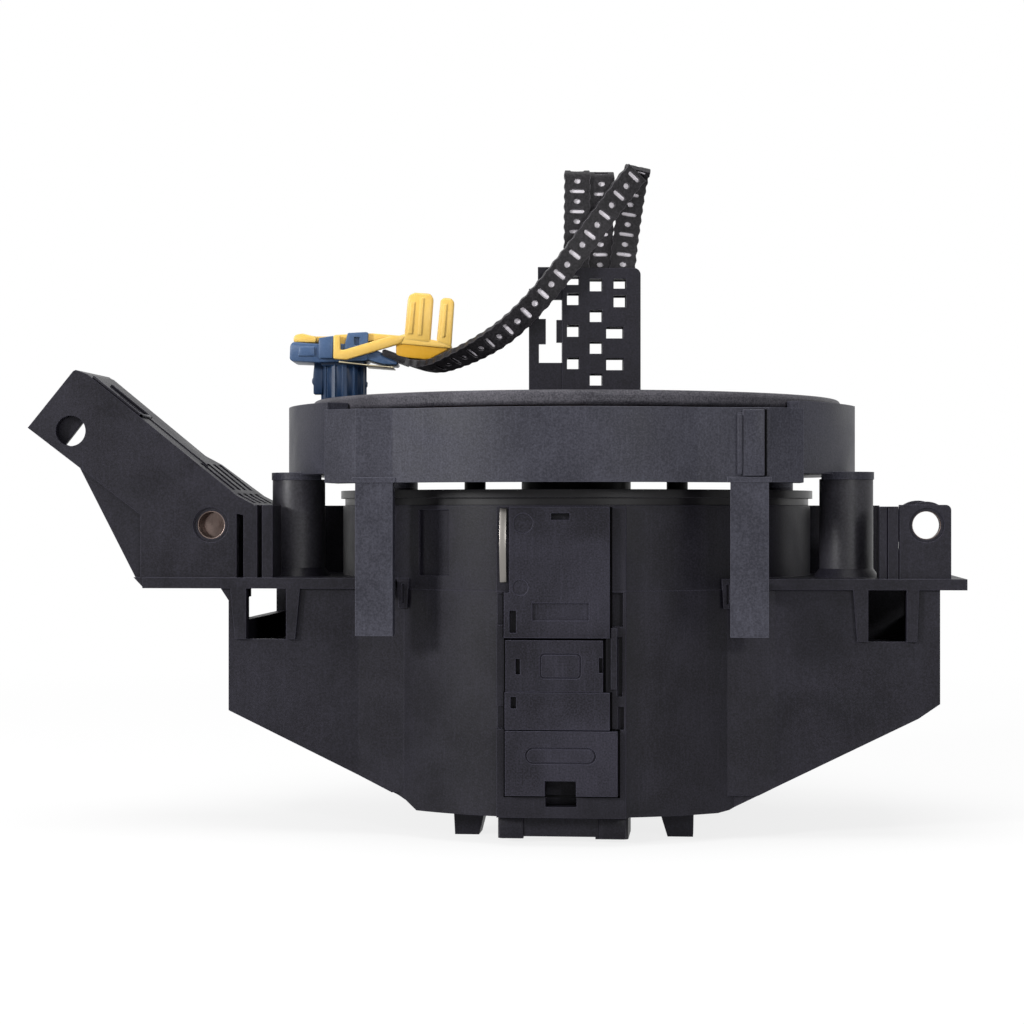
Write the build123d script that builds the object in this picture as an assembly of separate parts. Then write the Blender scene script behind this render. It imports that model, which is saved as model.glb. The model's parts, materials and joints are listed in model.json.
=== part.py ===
# Steering clock spring. Units are mm, +Z is up the steering column.
# The origin is the mouth of the column bore, in the plane of the drum's underside.
import math
import os

from build123d import *

os.makedirs("parts", exist_ok=True)

# Heights of the stack, from the drum's underside up.
foot_z = -5.2
seam_z = 40.6
plate_t = 2.0
plate_top = seam_z + plate_t
drum_top = 56.0
lid_step = 57.4
lid_top = 58.9
case_z = 60.1
floor_z = 61.9
case_floor = 1.6
case_in = floor_z + case_floor
wall_front_z = 73.4
wall_side_z = 75.1
disc_gap = 0.3
disc_z = wall_front_z + disc_gap
disc_t = 2.8
disc_top = disc_z + disc_t
tower_top = 100.9

# Radii round the column.
drum_r = 46.0
drum_wall = 2.0
drum_in = drum_r - drum_wall
ring_r = 55.0
sector_t = 1.6
sector_r = ring_r + sector_t
ring_wall = 2.8
ring_in = ring_r - ring_wall
disc_r = ring_in - 0.4
sleeve_in = 24.0
sleeve_r = 26.0
hub_r = 24.6
case_bore = 24.9
shaft_r = 9.0
shaft_out = 10.8
rotor_rest_deg = 4.9

# Wings, arm and front plane.
front_y = -34.0
wing_back = 19.0
wall_t = 2.0
plate_x0 = -78.9
plate_x1 = 73.0
arm_depth = 33.5
post_at = ring_r + 0.7
post_deg = 21.04
post_x = post_at * math.cos(math.radians(post_deg))
post_y = -post_at * math.sin(math.radians(post_deg))
post_r = 4.9
rear_at = ring_r + 5.6
rear_deg = 47.94
rear_x = rear_at * math.cos(math.radians(rear_deg))
rear_y = rear_at * math.sin(math.radians(rear_deg))
rear_r = 3.4
leg_x = 0.611 * ring_r
leg_w = 6.8
leg_front = -0.862 * ring_r
leg_t = 3.0
leg_z = 32.5
pad_x = 11.6
pad_y = -46.2

# Fixing holes, shared with the mounts in record.json.
fix_left = -66.2
fix_right = 65.8
fix_z = 52.4
fix_r = 2.65
arm_hole_x = -92.8
arm_hole_z = 70.0
arm_hole_r = 2.85
arm_skin = 2.2


def span(x0, x1, y0, y1, z0, z1):
    """Box between two corners."""
    box = Box(x1 - x0, y1 - y0, z1 - z0)
    return Pos((x0 + x1) / 2, (y0 + y1) / 2, (z0 + z1) / 2) * box


def disc(radius, z0, z1, x=0, y=0):
    """Upright cylinder."""
    return Pos(x, y, (z0 + z1) / 2) * Cylinder(radius, z1 - z0)


def tube(r_in, r_out, z0, z1, x=0, y=0):
    """Upright ring."""
    return disc(r_out, z0, z1, x, y) - disc(r_in, z0, z1, x, y)


def rod_y(radius, y0, y1, x, z):
    """Cylinder along Y."""
    return Pos(x, (y0 + y1) / 2, z) * Rot(90, 0, 0) * Cylinder(radius, y1 - y0)


def slab_y(points, y0, y1):
    """Solid from an X-Z outline, between two depths."""
    outline = make_face(Plane.XZ.offset(-y1) * Polyline(*points, close=True))
    return extrude(outline, amount=y1 - y0, dir=(0, -1, 0))


def slab_z(points, z0, z1):
    """Solid from an X-Y outline, between two heights."""
    outline = make_face(Pos(0, 0, z0) * Polyline(*points, close=True))
    return extrude(outline, amount=z1 - z0, dir=(0, 0, 1))


def sector(r_in, r_out, z0, z1, start, end):
    """Piece of a ring between two angles from +X."""
    steps = 4
    reach = 1.6 * r_out
    fan = [(0, 0)]
    for k in range(steps + 1):
        a = math.radians(start + (end - start) * k / steps)
        fan.append((reach * math.cos(a), reach * math.sin(a)))
    return tube(r_in, r_out, z0, z1) & slab_z(fan, z0, z1)


def turned(shape):
    """Rotor pieces are drawn facing the camera, then turned to their rest angle."""
    return Rot(0, 0, rotor_rest_deg) * shape


def save(name, shape):
    """Writes one node."""
    shape.label = name
    export_step(shape, "parts/" + name + ".step")
    print(name, "volume", round(shape.volume, 1), "solids", len(shape.solids()))


# Lower housing: drum and two hollow wings in one outline, with feet.
outline = [(-62.8, seam_z), (-62.8, 17.9), (-29.4, 1.7), (-27.2, 0), (28, 0), (30.1, 0.4), (64.3, 17.2),
           (68.2, 19.9), (68.2, seam_z)]
tall = [(-62.8, seam_z + wall_t)] + outline[1:-1] + [(68.2, seam_z + wall_t)]
reach = 60
keep = slab_y(outline, -reach, reach)
inner = offset(make_face(Plane.XZ.offset(-reach) * Polyline(*tall, close=True)), amount=-wall_t,
               kind=Kind.INTERSECTION)
keep_in = extrude(inner, amount=2 * reach, dir=(0, -1, 0))
facet_l = [(-38.4, front_y + 0.2), (-38.4, front_y), (-29.7, -35.1), (-26, front_y + 0.2)]
facet_r = [(38.4, front_y + 0.2), (38.4, front_y), (29.7, -35.1), (26, front_y + 0.2)]
lower = disc(drum_r, 0, seam_z) + slab_y(outline, front_y, wing_back)
lower += slab_z(facet_l, 3, seam_z) + slab_z(facet_r, 3, seam_z)
lower &= keep
lower += span(-pad_x, pad_x, pad_y, -drum_in, 0, seam_z)
pockets = keep_in & span(-reach * 2, reach * 2, front_y + wall_t, wing_back - wall_t, 0, seam_z)
lower -= pockets - disc(drum_r, -1, seam_z + 1)
lower += slab_y([(-64.3, seam_z), (-62.7, seam_z - 2.4), (-62.7, seam_z)], front_y, front_y + 22)
lower -= disc(drum_in, 0, seam_z) & keep_in
lower -= disc(sleeve_r, 0, 2)
socket_x = 11.85
socket_y0 = -41.0
socket_y1 = -27.5
lower -= span(-socket_x, socket_x, socket_y0, socket_y1, 0, 2)
for x0, x1 in ((-62.8, -60.8), (66.2, 68.2)):
    lower -= span(x0, x1, -30, 15, 34.4, seam_z)
win_l = (-59.3, -51.8)
win_r = (55.2, 62.1)
win_z = 31.2
for x0, x1 in (win_l, win_r):
    lower -= span(x0, x1, front_y, front_y + wall_t, win_z, seam_z)
tongue_r = 43.8
tongue_top = 41.8
lower += tube(42.0, drum_in, 34, seam_z)
lower += tube(42.0, tongue_r, seam_z - 0.2, tongue_top)
boss_at = [(38 * math.cos(math.radians(a)), 38 * math.sin(math.radians(a))) for a in (40, 140, 222, 318)]
boss_screw_r = 1.2
for x, y in boss_at:
    lower += disc(3.2, 1.9, tongue_top, x, y) & keep
    lower -= disc(boss_screw_r, tongue_top - 8, tongue_top, x, y)
stake_at = [(28.5 * math.cos(math.radians(a)), 28.5 * math.sin(math.radians(a)))
            for a in (40, 90, 140, 215, 325)]
for x, y in stake_at:
    lower += disc(1.2, 1.9, 4.0, x, y) + disc(2.0, 4.0, 4.9, x, y)
lower += span(-61.8, -45.0, -4.0, -2.4, 9.0, 30.0) & keep
lower += span(45.0, 67.2, -4.0, -2.4, 7.0, 30.0) & keep
foot_l = loft([Pos(-17.95, -27, 0.4) * Rectangle(6.1, 8), Pos(-18.55, -27, foot_z) * Rectangle(4.5, 6.4)])
foot_r = loft([Pos(20.25, -27, 0.4) * Rectangle(6.5, 8), Pos(21.05, -27, foot_z) * Rectangle(4.7, 6.4)])
foot_bl = loft([Pos(-24, 27, 0.4) * Rectangle(6, 8), Pos(-24, 27, foot_z) * Rectangle(4.6, 6.4)])
foot_br = loft([Pos(19.5, 30, 0.4) * Rectangle(6, 8), Pos(19.5, 30, foot_z) * Rectangle(4.6, 6.4)])
lower += foot_l + foot_r + foot_bl + foot_br
for x0, x1, z0, z1 in ((-pad_x, -10.3, 34.5, 40.2), (-pad_x, -10.3, 15.9, 20.0), (8.8, 11.1, 34.3, 40.4),
                       (10.2, 11.3, 15.9, 20.0), (10.1, 11.0, 21.8, 32.5)):
    lower -= span(x0, x1, pad_y, pad_y + 1.5, z0, z1)
lower -= span(-2.8, 2.8, pad_y, -drum_in + 0.2, 2.0, 6.8)
lower += span(9.0, 10.1, pad_y - 1.4, pad_y, 23.2, 34.1)
save("lower_housing", lower)

# Column sleeve, staked to the drum floor.
sleeve_top = 52.8
sleeve_ears = tube(sleeve_r, 31.0, 2.0, 4.0) & span(-25.9, 25.9, -32, 32, 2.0, 4.0)
sleeve = tube(sleeve_in, sleeve_r, 0, sleeve_top) + sleeve_ears
for x, y in stake_at:
    sleeve -= disc(1.2, 2.0, 4.0, x, y)
sleeve -= span(-socket_x - 0.3, socket_x + 0.3, -40, socket_y1 + 0.3, 2.0, 4.0)
save("column_sleeve", sleeve)

# Harness socket, open below the drum.
socket_top = 11.0
socket_z = -4.4
socket = span(-socket_x, socket_x, socket_y0, socket_y1, socket_z, socket_top)
socket = fillet(socket.edges().filter_by(Axis.Z), 1.0)
socket -= span(-10.25, 10.25, socket_y0 + 1.6, socket_y1 - 1.6, socket_z, 8.6)
socket += span(-14.5, -socket_x, -38, -30.5, 2.0, 4.0) + span(socket_x, 14.5, -38, -30.5, 2.0, 4.0)
socket -= span(-7.2, 5.9, socket_y0, socket_y0 + 1.6, socket_z, socket_z + 0.4)
socket += span(-3.6, -2.4, socket_y0 + 1.6, socket_y0 + 2.8, -3, 8.6)
socket += span(2.4, 3.6, socket_y0 + 1.6, socket_y0 + 2.8, -3, 8.6)
pin_x = [-8.0 + 3.2 * k for k in range(6)]
pin_y = (-36.6, -32.0)
pin_w = 0.8
for x in pin_x:
    for y in pin_y:
        socket -= span(x - pin_w / 2, x + pin_w / 2, y - pin_w / 2, y + pin_w / 2, 8.6, socket_top)
save("harness_socket", socket)

# Terminals that run from the socket up to the board.
board_z = tongue_top
board_t = 1.6
board_top = board_z + board_t
terminals = []
for x in pin_x:
    for y in pin_y:
        terminals.append(span(x - pin_w / 2, x + pin_w / 2, y - pin_w / 2, y + pin_w / 2, 2.0,
                              board_top + 0.8))
save("socket_terminals", Compound(children=terminals))

# Circuit board with its parts.
board = tube(27.0, 43.6, board_z, board_top)
for x, y in boss_at:
    board -= disc(1.5, board_z, board_top, x, y)
for x in pin_x:
    for y in pin_y:
        board -= disc(0.75, board_z, board_top, x, y)
save("circuit_board", board)
chip_at = [(60, 34.5, 7, 5, 1.4), (90, 33, 5, 4, 1.2), (180, 35, 6, 8, 1.5), (200, 34, 4, 3, 1.1),
           (0, 34.5, 5, 7, 1.5), (340, 34.5, 4, 4, 1.2), (120, 34.5, 3, 5, 1.8), (240, 34, 4, 3, 1.4)]
chips = []
for angle, r, w, d, h in chip_at:
    chips.append(Rot(0, 0, angle) * span(r - w / 2, r + w / 2, -d / 2, d / 2, board_top, board_top + h))
save("board_chips", Compound(children=chips))
board_screws = []
for x, y in boss_at:
    screw = disc(boss_screw_r, board_top - 7, board_top, x, y) + disc(2.4, board_top, board_top + 1.6, x, y)
    screw -= Pos(x, y, board_top + 1.2) * Box(3.4, 0.7, 0.8)
    board_screws.append(screw)
save("board_screws", Compound(children=board_screws))

# Code disc of the angle sensor, driven by the two pins of the hub.
code_z = 49.8
code_t = 1.0
web_z = sleeve_top + 0.3
web_top = 54.9
code = tube(17.0, 28.0, web_z, web_top) + tube(26.3, 28.0, 45.8, web_z) + tube(28.0, 39.0, code_z, code_z + code_t)
drive_x = 20.0
drive_r = 2.1
for x in (-drive_x, drive_x):
    code -= disc(drive_r + 0.1, web_z, web_top, x, 0)
for k in range(24):
    code -= Rot(0, 0, 15 * k) * span(35.2, 37.8, -1.4, 1.4, code_z, code_z + code_t)
save("code_disc", turned(code))

# Light forks on the board, one each side of the code disc.
fork_gap = 0.5
forks = []
for angle in (20, 75, 105, 160):
    fork = span(34.5, 42.2, -3, 3, board_top, 52.6)
    fork -= span(34.5, 40.0, -3, 3, code_z - fork_gap, code_z + code_t + fork_gap)
    forks.append(Rot(0, 0, angle) * fork)
save("light_forks", Compound(children=forks))

# Sensor lid, one moulding with a step.
lid = tube(25.5, 45.6, drum_top, lid_step) + tube(25.5, 46.4, lid_step, lid_top)
save("sensor_lid", lid)

# Carrier frame: plate, upper drum wall, arm, posts, walls and the right block.
arm = [(-101.0, 70.6), (-92.3, 81.2), (-91.8, 81.4), (-89.6, 80.6), (-61.3, 57.9), (-61.3, seam_z),
       (plate_x0, seam_z), (-80.8, plate_top), (-91.6, 63.5)]
crease = [(-91.6, 63.5), (-79.5, 54.3), (-79.5, plate_top), (-80.8, plate_top)]
plate = span(plate_x0, plate_x1, front_y - 1.0, 22.0, seam_z, plate_top)
plate -= span(plate_x0, -62.8, 2.0, 22.0, seam_z, plate_top)
plate += disc(drum_r, seam_z, plate_top)
for sx in (-1, 1):
    ear_a = math.degrees(math.atan2(rear_y, sx * rear_x))
    ear = Rot(0, 0, ear_a) * span(40, math.hypot(rear_x, rear_y), -5.2, 5.2, seam_z, plate_top)
    plate += ear + disc(5.2, seam_z, plate_top, sx * rear_x, rear_y)
frame = plate + tube(drum_in, drum_r, seam_z, drum_top)
frame += span(-pad_x, pad_x, pad_y, -drum_in, seam_z, drum_top - 0.3)
frame -= disc(drum_in, seam_z, drum_top)
skin = slab_y(arm, front_y, front_y + arm_skin)
skin -= slab_y(crease, front_y, front_y + 1.4)
top_in = [(-99.2, 70.9), (-91.9, 78.6), (-62.1, 54.7), (-58.5, 53.9), (-57.9, 56.1), (-61.3, 57.9),
          (-89.6, 80.6), (-91.8, 81.4), (-92.3, 81.2), (-101.0, 70.6)]
under = [(-91.6, 63.5), (-80.8, plate_top), (plate_x0, seam_z), (-77.1, plate_top), (-79.0, 43.4),
         (-89.9, 64.6)]
shallow = [(-102, front_y + 27.0), (-92.5, front_y + 27.0), (-90.0, front_y + 20.0), (-71.0, front_y + 18.0),
           (-69.0, front_y + 24.0), (-61.3, front_y + 28.0), (-50, front_y + arm_depth), (-50, 10), (-102, 10)]
arm_rib = span(-77.0, -60.5, front_y + 14.0, front_y + 15.6, plate_top - 0.1, 57) & slab_y(arm, front_y, 0)
arm_body = slab_y(top_in, front_y, front_y + arm_depth)
arm_body += slab_y(under, front_y + 1.4, front_y + arm_depth - 6)
arm_body -= slab_z(shallow, plate_top, 90)
frame += skin + arm_body + arm_rib
post_z = case_z
for sx in (-1, 1):
    frame += disc(post_r, seam_z, post_z, sx * post_x, post_y)
    frame += Pos(sx * post_x, post_y, plate_top + 0.9) * Cone(6.2, post_r, 1.8)
    frame += disc(2.4, post_z - 0.2, post_z + 2.0, sx * post_x, post_y)
    frame += disc(rear_r, seam_z, post_z, sx * rear_x, rear_y)
    frame -= disc(1.5, seam_z + 4, post_z, sx * rear_x, rear_y)
wall_z = 56.1
for x0, x1, y1, z1 in ((-60.0, -57.4, -23, wall_z), (-56.5, -54.5, -25.5, wall_z), (57.3, 58.6, -25.5, 55.8),
                       (58.8, 60.7, -23, 55.8)):
    frame += span(x0, x1, front_y, y1, plate_top - 0.1, z1)
frame += span(-61.0, -45.0, 8.0, 10.2, plate_top - 0.1, wall_z)
frame += span(45.0, 60.0, 8.0, 10.2, plate_top - 0.1, wall_z)
block_in = 60.9
block_out = 70.2
block = span(block_in, block_out, front_y, front_y + 2.5, plate_top - 0.1, wall_z)
block = fillet(block.edges().filter_by(Axis.Y).group_by(Axis.Z)[-1].sort_by(Axis.X)[-1], 1.0)
block_wall = 1.4
for x0, x1 in ((block_in, block_in + block_wall), (block_out - block_wall, block_out)):
    block += span(x0, x1, front_y + 2.5, front_y + 12, plate_top - 0.1, 48.0)
block += rod_y(4.3, front_y + 0.3, front_y + 3.2, fix_right, fix_z)
block += rod_y(4.5, front_y + 2.4, front_y + 5.4, fix_right - 1.4, fix_z)
block -= rod_y(fix_r, front_y, front_y + 10, fix_right, fix_z)
block -= rod_y(3.2, front_y, front_y + 0.5, fix_right, fix_z)
frame += block
frame += rod_y(4.4, front_y, front_y + 12.5, fix_left, fix_z)
frame -= rod_y(fix_r, front_y, front_y + 12.5, fix_left, fix_z)
frame -= rod_y(3.3, front_y, front_y + 0.5, fix_left, fix_z)
frame -= rod_y(arm_hole_r, front_y, front_y + arm_skin, arm_hole_x, arm_hole_z)
guide_t = 1.0
for guide in ([(-62.5, plate_top), (-61.4, win_z), (-59.3, win_z), (-59.3, plate_top)],
              [(-51.8, plate_top), (-51.8, win_z), (-50.1, win_z), (-49.0, plate_top)],
              [(52.3, plate_top), (53.2, win_z), (55.2, win_z), (55.2, plate_top)],
              [(62.1, plate_top), (62.1, win_z), (64.0, win_z), (64.4, plate_top)]):
    frame += slab_y(guide, front_y - guide_t, front_y)
slot_w = 2.8
slot_pitch = 5.5
slope = math.degrees(math.atan2(57.9 - 80.6, -61.3 + 89.6))
slot_runs = ((-68.9, 63.99, -62.6, 59.0), (-61.6, 58.6, -58.6, 56.5))
for k in range(4):
    y = front_y + 4.6 + slot_pitch * k
    for x0, z0, x1, z1 in slot_runs:
        run = math.hypot(x1 - x0, z1 - z0)
        tilt = math.degrees(math.atan2(z0 - z1, x1 - x0))
        cut = Pos((x0 + x1) / 2, y, (z0 + z1) / 2) * Rot(0, tilt, 0) * Box(run, slot_w, 7)
        frame -= cut
frame -= Pos(-83.0, front_y + 6.0, 75.3) * Rot(0, -slope, 0) * Box(5.0, 1.2, 6)
snap_x = 29.8
snap_y = -36.4
for sx in (-1, 1):
    x = sx * snap_x
    snap = slab_y([(x - 1.1, plate_top), (x - 0.8, 37.2), (x + 0.8, 37.2), (x + 1.1, plate_top)], snap_y, -34.8)
    snap -= span(x - 2, x + 2, -35.2, -30, 0, seam_z) + span(x - 0.25, x + 0.25, snap_y, snap_y + 0.4, 38, 41.6)
    frame += snap
frame -= span(-26.6, -20.8, -44.0, -36.0, 43.2, 55.2) & tube(45.4, 50, 43, 56)
save("carrier_frame", frame)

# Cassette case: floor, wall with two higher sectors, legs and lugs.
lug_r = 5.2
lug_z = 60.9
lug_top = 62.3
rear_top = floor_z + 2.0
case = tube(case_bore, ring_r, floor_z, case_in)
case += tube(ring_in, ring_r, case_in, wall_front_z)
skirt_x = 0.782 * ring_r
case += tube(ring_in, ring_r, case_z, floor_z) & span(-skirt_x, skirt_x, -ring_r, 0, case_z, floor_z)
case += sector(ring_in, sector_r, floor_z, wall_side_z, 141, 219)
case += sector(ring_in, ring_r, floor_z, wall_side_z, -39, 39)
case -= span(ring_r - 0.8, ring_r + 5, -30, 30, lug_top, wall_side_z)
thick = [(0.444, -0.896), (0.549, -0.862), (0.673, -0.855), (0.787, -0.782), (0.787, -0.622), (0.70, -0.60),
         (0.42, -0.84)]
for sx in (-1, 1):
    lug = disc(post_r, case_z, lug_top, sx * post_x, post_y)
    lug += disc(lug_r, lug_z, lug_top, sx * post_x, post_y)
    case += lug - disc(ring_in, case_z, lug_top)
    case -= disc(2.4, case_z, case_z + 2.0, sx * post_x, post_y)
    ear_a = math.degrees(math.atan2(rear_y, sx * rear_x))
    lug = Rot(0, 0, ear_a) * span(ring_in + 0.5, rear_at, -4.4, 4.4, floor_z, rear_top)
    lug += disc(4.6, floor_z, rear_top, sx * rear_x, rear_y) + disc(rear_r, case_z, floor_z, sx * rear_x, rear_y)
    case += lug
    case -= disc(1.5, case_z, rear_top, sx * rear_x, rear_y)
    wall = slab_z([(sx * ring_r * x, ring_r * y) for x, y in thick], case_z, wall_front_z)
    x = sx * leg_x
    leg = span(x - leg_w / 2, x + leg_w / 2, leg_front, leg_front + leg_t, leg_z, case_z + 0.5)
    leg += span(x - leg_w / 2 - 0.5, x + leg_w / 2 + 0.5, leg_front - 0.4, leg_front + leg_t, case_z, case_z + 0.9)
    leg += span(x - 1.0, x + 1.0, leg_front + leg_t - 0.1, leg_front + 5.6, 46.0, case_z + 0.5)
    case += (wall + leg) - disc(ring_in, case_z, wall_side_z)
    case += span(x - 2.4, x + 2.4, leg_front + leg_t - 0.1, front_y - 1.0, seam_z, seam_z + 1.6)
rib_x = 0.573 * ring_r
case += span(rib_x, rib_x + 2.7, leg_front - 0.5, leg_front + 0.2, lug_top, wall_front_z - 1)
save("cassette_case", case)

# Screws that hold the case to the rear posts.
case_screws = []
for sx in (-1, 1):
    x = sx * rear_x
    screw = disc(1.5, case_z - 9, rear_top, x, rear_y) + disc(3.0, rear_top, rear_top + 2.0, x, rear_y)
    screw -= Pos(x, rear_y, rear_top + 1.6) * (Box(4.2, 0.8, 0.9) + Box(0.8, 4.2, 0.9))
    case_screws.append(screw)
save("cassette_screws", Compound(children=case_screws))

# Ribbon cable: a band wound in half turns whose centre shifts, then its end block.
band_t = 0.35
band_z0 = case_in + 0.4
band_z1 = 73.0
band_pitch = 3.6
half_turns = 14
band_r = hub_r + 0.6
shift = 0.0
band = None
for k in range(half_turns):
    side = 1 if k % 2 == 0 else -1
    half = Pos(shift, 0, 0) * tube(band_r - band_t / 2, band_r + band_t / 2, band_z0, band_z1)
    half &= span(-80, 80, min(0, 80 * side), max(0, 80 * side), band_z0, band_z1)
    band = half if band is None else band + half
    shift -= side * band_pitch / 4
    band_r += band_pitch / 4
save("ribbon_cable", band)
clip = sector(ring_in - 3.6, ring_in, case_in, 72.6, 62, 70)
save("ribbon_clip", clip)

# Rotor disc, its wheel socket drops between the hub's sleeve and wall.
rotor = tube(shaft_out, disc_r, disc_z, disc_top)
rotor = fillet(rotor.edges().filter_by(GeomType.CIRCLE).group_by(SortBy.RADIUS)[-1], 0.9)
well = (-7.5, 7.5, 12.6, 20.2)
well_wall = 1.2
well_z = 64.0
rotor += span(well[0] - well_wall, well[1] + well_wall, well[2] - well_wall, well[3] + well_wall,
              well_z - well_wall, disc_z + 0.5)
rotor -= span(well[0], well[1], well[2], well[3], well_z, disc_top)
for x, y in ((-30, 18), (30, 18), (0, -36), (-24, -30), (26, -28)):
    rotor -= disc(1.8, disc_top - 1.2, disc_top, x, y)
rotor += tube(45.0, 46.2, disc_top - 0.2, disc_top + 1.0) - span(-60, 60, -60, 12, disc_top - 1, disc_top + 2)
save("rotor_disc", turned(rotor))
pins = []
for k in range(5):
    x = -5.0 + 2.5 * k
    pins.append(span(x - 0.4, x + 0.4, 16.0, 16.8, well_z, disc_top - 3.5))
save("wheel_socket_pins", turned(Compound(children=pins)))

# Drive hub: sleeve on the shaft, outer wall for the ribbon, pins to the code disc.
hub_z = 61.4
hub_in = hub_r - 2.2
hub = tube(shaft_r, shaft_out, 55.3, disc_top + 0.6)
hub += tube(hub_in, hub_r, hub_z, disc_z) + tube(17.9, hub_r, hub_z, hub_z + 1.6)
hub += tube(shaft_out, hub_r, disc_z - 2.0, disc_z)
for a in (0, 90, 180, 270):
    rib_z = hub_z + 1.6 if a in (0, 180) else disc_z - 2.8
    hub += Rot(0, 0, a) * span(shaft_out - 0.3, hub_in + 0.2, -0.8, 0.8, rib_z, disc_z)
hub += span(-18.5, 0.4 - shaft_out, -0.8, 0.8, hub_z, hub_z + 1.8)
hub += span(shaft_out - 0.4, 18.5, -0.8, 0.8, hub_z, hub_z + 1.8)
for x in (-drive_x, drive_x):
    hub += disc(drive_r, web_z, hub_z + 0.2, x, 0)
hub -= span(well[0] - well_wall, well[1] + well_wall, well[2] - well_wall, well[3] + well_wall,
            well_z - well_wall, disc_z)
save("drive_hub", turned(hub))

# Cable tower: perforated plate with side flanges and a clamp bar.
tower_x0 = -3.2
tower_x1 = 11.6
tower_y0 = -22.0
tower_t = 1.5
tower_depth = 6.5
tower_y1 = tower_y0 + tower_depth
tower_side = 1.2
tower = span(tower_x0, tower_x1, tower_y0, tower_y1, disc_top, tower_top)
tower = fillet(tower.edges().filter_by(Axis.Y).group_by(Axis.Z)[-1], 1.3)
tower -= span(tower_x0 + tower_side, tower_x1 - tower_side, tower_y0 + tower_t, tower_y1 - tower_t,
              disc_top + tower_side, tower_top)
hole_rows = (
    (-2.3, 0.0, ((97.7, 99.4), (93.9, 96.2), (87.9, 90.2), (81.8, 84.0))),
    (2.0, 4.4, ((96.5, 98.9), (90.7, 93.0), (84.7, 87.0), (78.7, 80.9))),
    (6.5, 8.9, ((97.0, 98.9), (93.5, 95.8))),
    (5.1, 8.4, ((87.6, 89.8), (81.6, 83.9))),
)
for x0, x1, rows in hole_rows:
    for z0, z1 in rows:
        tower -= span(x0, x1, tower_y0, tower_y1, z0, z1)
strip_z = 98.7
tower -= span(tower_x0 - 1, tower_x1 + 1, tower_y0 + tower_t, tower_y1 - tower_t, strip_z, tower_top)
tower += span(tower_x0 - 1.1, tower_x0 + 0.2, tower_y0 + 0.3, tower_y0 + 2.3, 86.9, 91.1)
save("cable_tower", turned(tower))

# Tower bracket: the plain window frame to the left of the tower.
bx0 = -9.5
bx1 = tower_x0
bracket = span(bx0, bx1, tower_y0 + 0.3, tower_y0 + 2.3, disc_top, 97.0)
bracket -= span(-7.6, bx1, tower_y0, tower_y0 + 3, 83.0, 95.0)
bracket += span(-7.8, -5.5, tower_y0 + 0.3, tower_y0 + 2.3, 96.9, 101.1)
bracket += span(-7.7, -6.3, tower_y0 + 0.3, tower_y0 + 2.3, 86.6, 91.3)
save("tower_bracket", turned(bracket))

# Lead stack: three folded columns of ladder lead, with real slots and holes.
lead_w = 4.4
lead_t = 1.2
pitch = 4.6
stack_y = -19.7
columns = ((-0.75, -0.75, 119.3), (3.6, 3.6, 119.3), (7.9, 10.6, 120.3))
stack = []
for low_x, high_x, top_z in columns:
    length = math.hypot(high_x - low_x, top_z - strip_z)
    lean = math.degrees(math.atan2(high_x - low_x, top_z - strip_z))
    strip = span(-lead_w / 2, lead_w / 2, -lead_t / 2, lead_t / 2, 0, length)
    row = 2.0
    while row < length - 2.0:
        strip -= span(-1.3, 1.3, -1, 1, row - 0.45, row + 0.45)
        if row + pitch / 2 < length - 1.0:
            strip -= rod_y(0.6, -1, 1, 0, row + pitch / 2)
        row += pitch
    stack.append(Pos(low_x, stack_y, strip_z) * Rot(0, lean, 0) * strip)
save("lead_stack", turned(Compound(children=stack)))

# Lead cord: route in the rotor's frame, repeated in scene.py.
lead_r = 1.5
lead_route = [(10.8, -22.0, 119.4), (7.6, -23.2, 114.9), (3.7, -24.3, 109.4), (-1.7, -25.0, 102.1),
              (-7.5, -25.0, 94.9), (-13.3, -23.0, 88.9), (-18.8, -19.0, 85.0), (-23.7, -14.0, 83.2),
              (-28.2, -9.0, 82.8), (-32.4, -5.6, 83.7), (-36.4, -3.4, 85.4)]
radii = []
for a, b, c in zip(lead_route, lead_route[1:], lead_route[2:]):
    run_in = Vector(*b) - Vector(*a)
    run_out = Vector(*c) - Vector(*b)
    half = math.radians(run_in.get_angle(run_out) / 2)
    radii.append(0.45 * min(run_in.length, run_out.length) / math.tan(half))
path = FilletPolyline(*lead_route, radius=radii)
start = Plane(origin=path @ 0, z_dir=path % 0)
lead = sweep(start * Circle(lead_r), path=path)
print("lead radii", [round(r, 1) for r in radii])
print("lead volume", round(lead.volume, 1), "section times length", round(math.pi * lead_r ** 2 * path.length, 1),
      "length", round(path.length, 1))
save("lead_cord", turned(lead))

# Squib plug: body, barrel, contacts and the sliding lock.
plug_y = -1.0
body_z0 = 84.3
body_z1 = 87.5
body = span(-56.0, -36.4, plug_y - 6, plug_y + 6, body_z0, body_z1)
body = fillet(body.edges().filter_by(Axis.Z), 1.2)
body += span(-50.2, -47.9, plug_y - 7.4, plug_y - 4.0, 84.8, 89.0)
body += span(-45.3, -40.9, plug_y - 6.0, plug_y - 4.0, 86.8, 89.6)
save("squib_body", turned(body))
barrel_x = -45.9
barrel_r = 4.35
barrel = disc(barrel_r, disc_top, body_z0, barrel_x, plug_y) - disc(3.1, disc_top, body_z0 - 1.2, barrel_x, plug_y)
barrel += span(-51.8, -49.6, plug_y - 1.1, plug_y + 1.1, 78.1, body_z0)
for k in range(12):
    rib = Rot(0, 0, 30 * k) * span(barrel_r - 0.2, barrel_r + 0.25, -0.3, 0.3, disc_top + 0.6, body_z0)
    barrel += Pos(barrel_x, plug_y, 0) * rib
save("squib_barrel", turned(barrel))
contacts = []
for dy in (-1.25, 1.25):
    contacts.append(disc(0.9, disc_top + 1.0, body_z0 - 1.2, barrel_x, plug_y + dy))
contacts.append(span(-41.0, -36.4, plug_y - 6.0, plug_y - 4.6, body_z0 - 0.7, body_z0))
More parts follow.
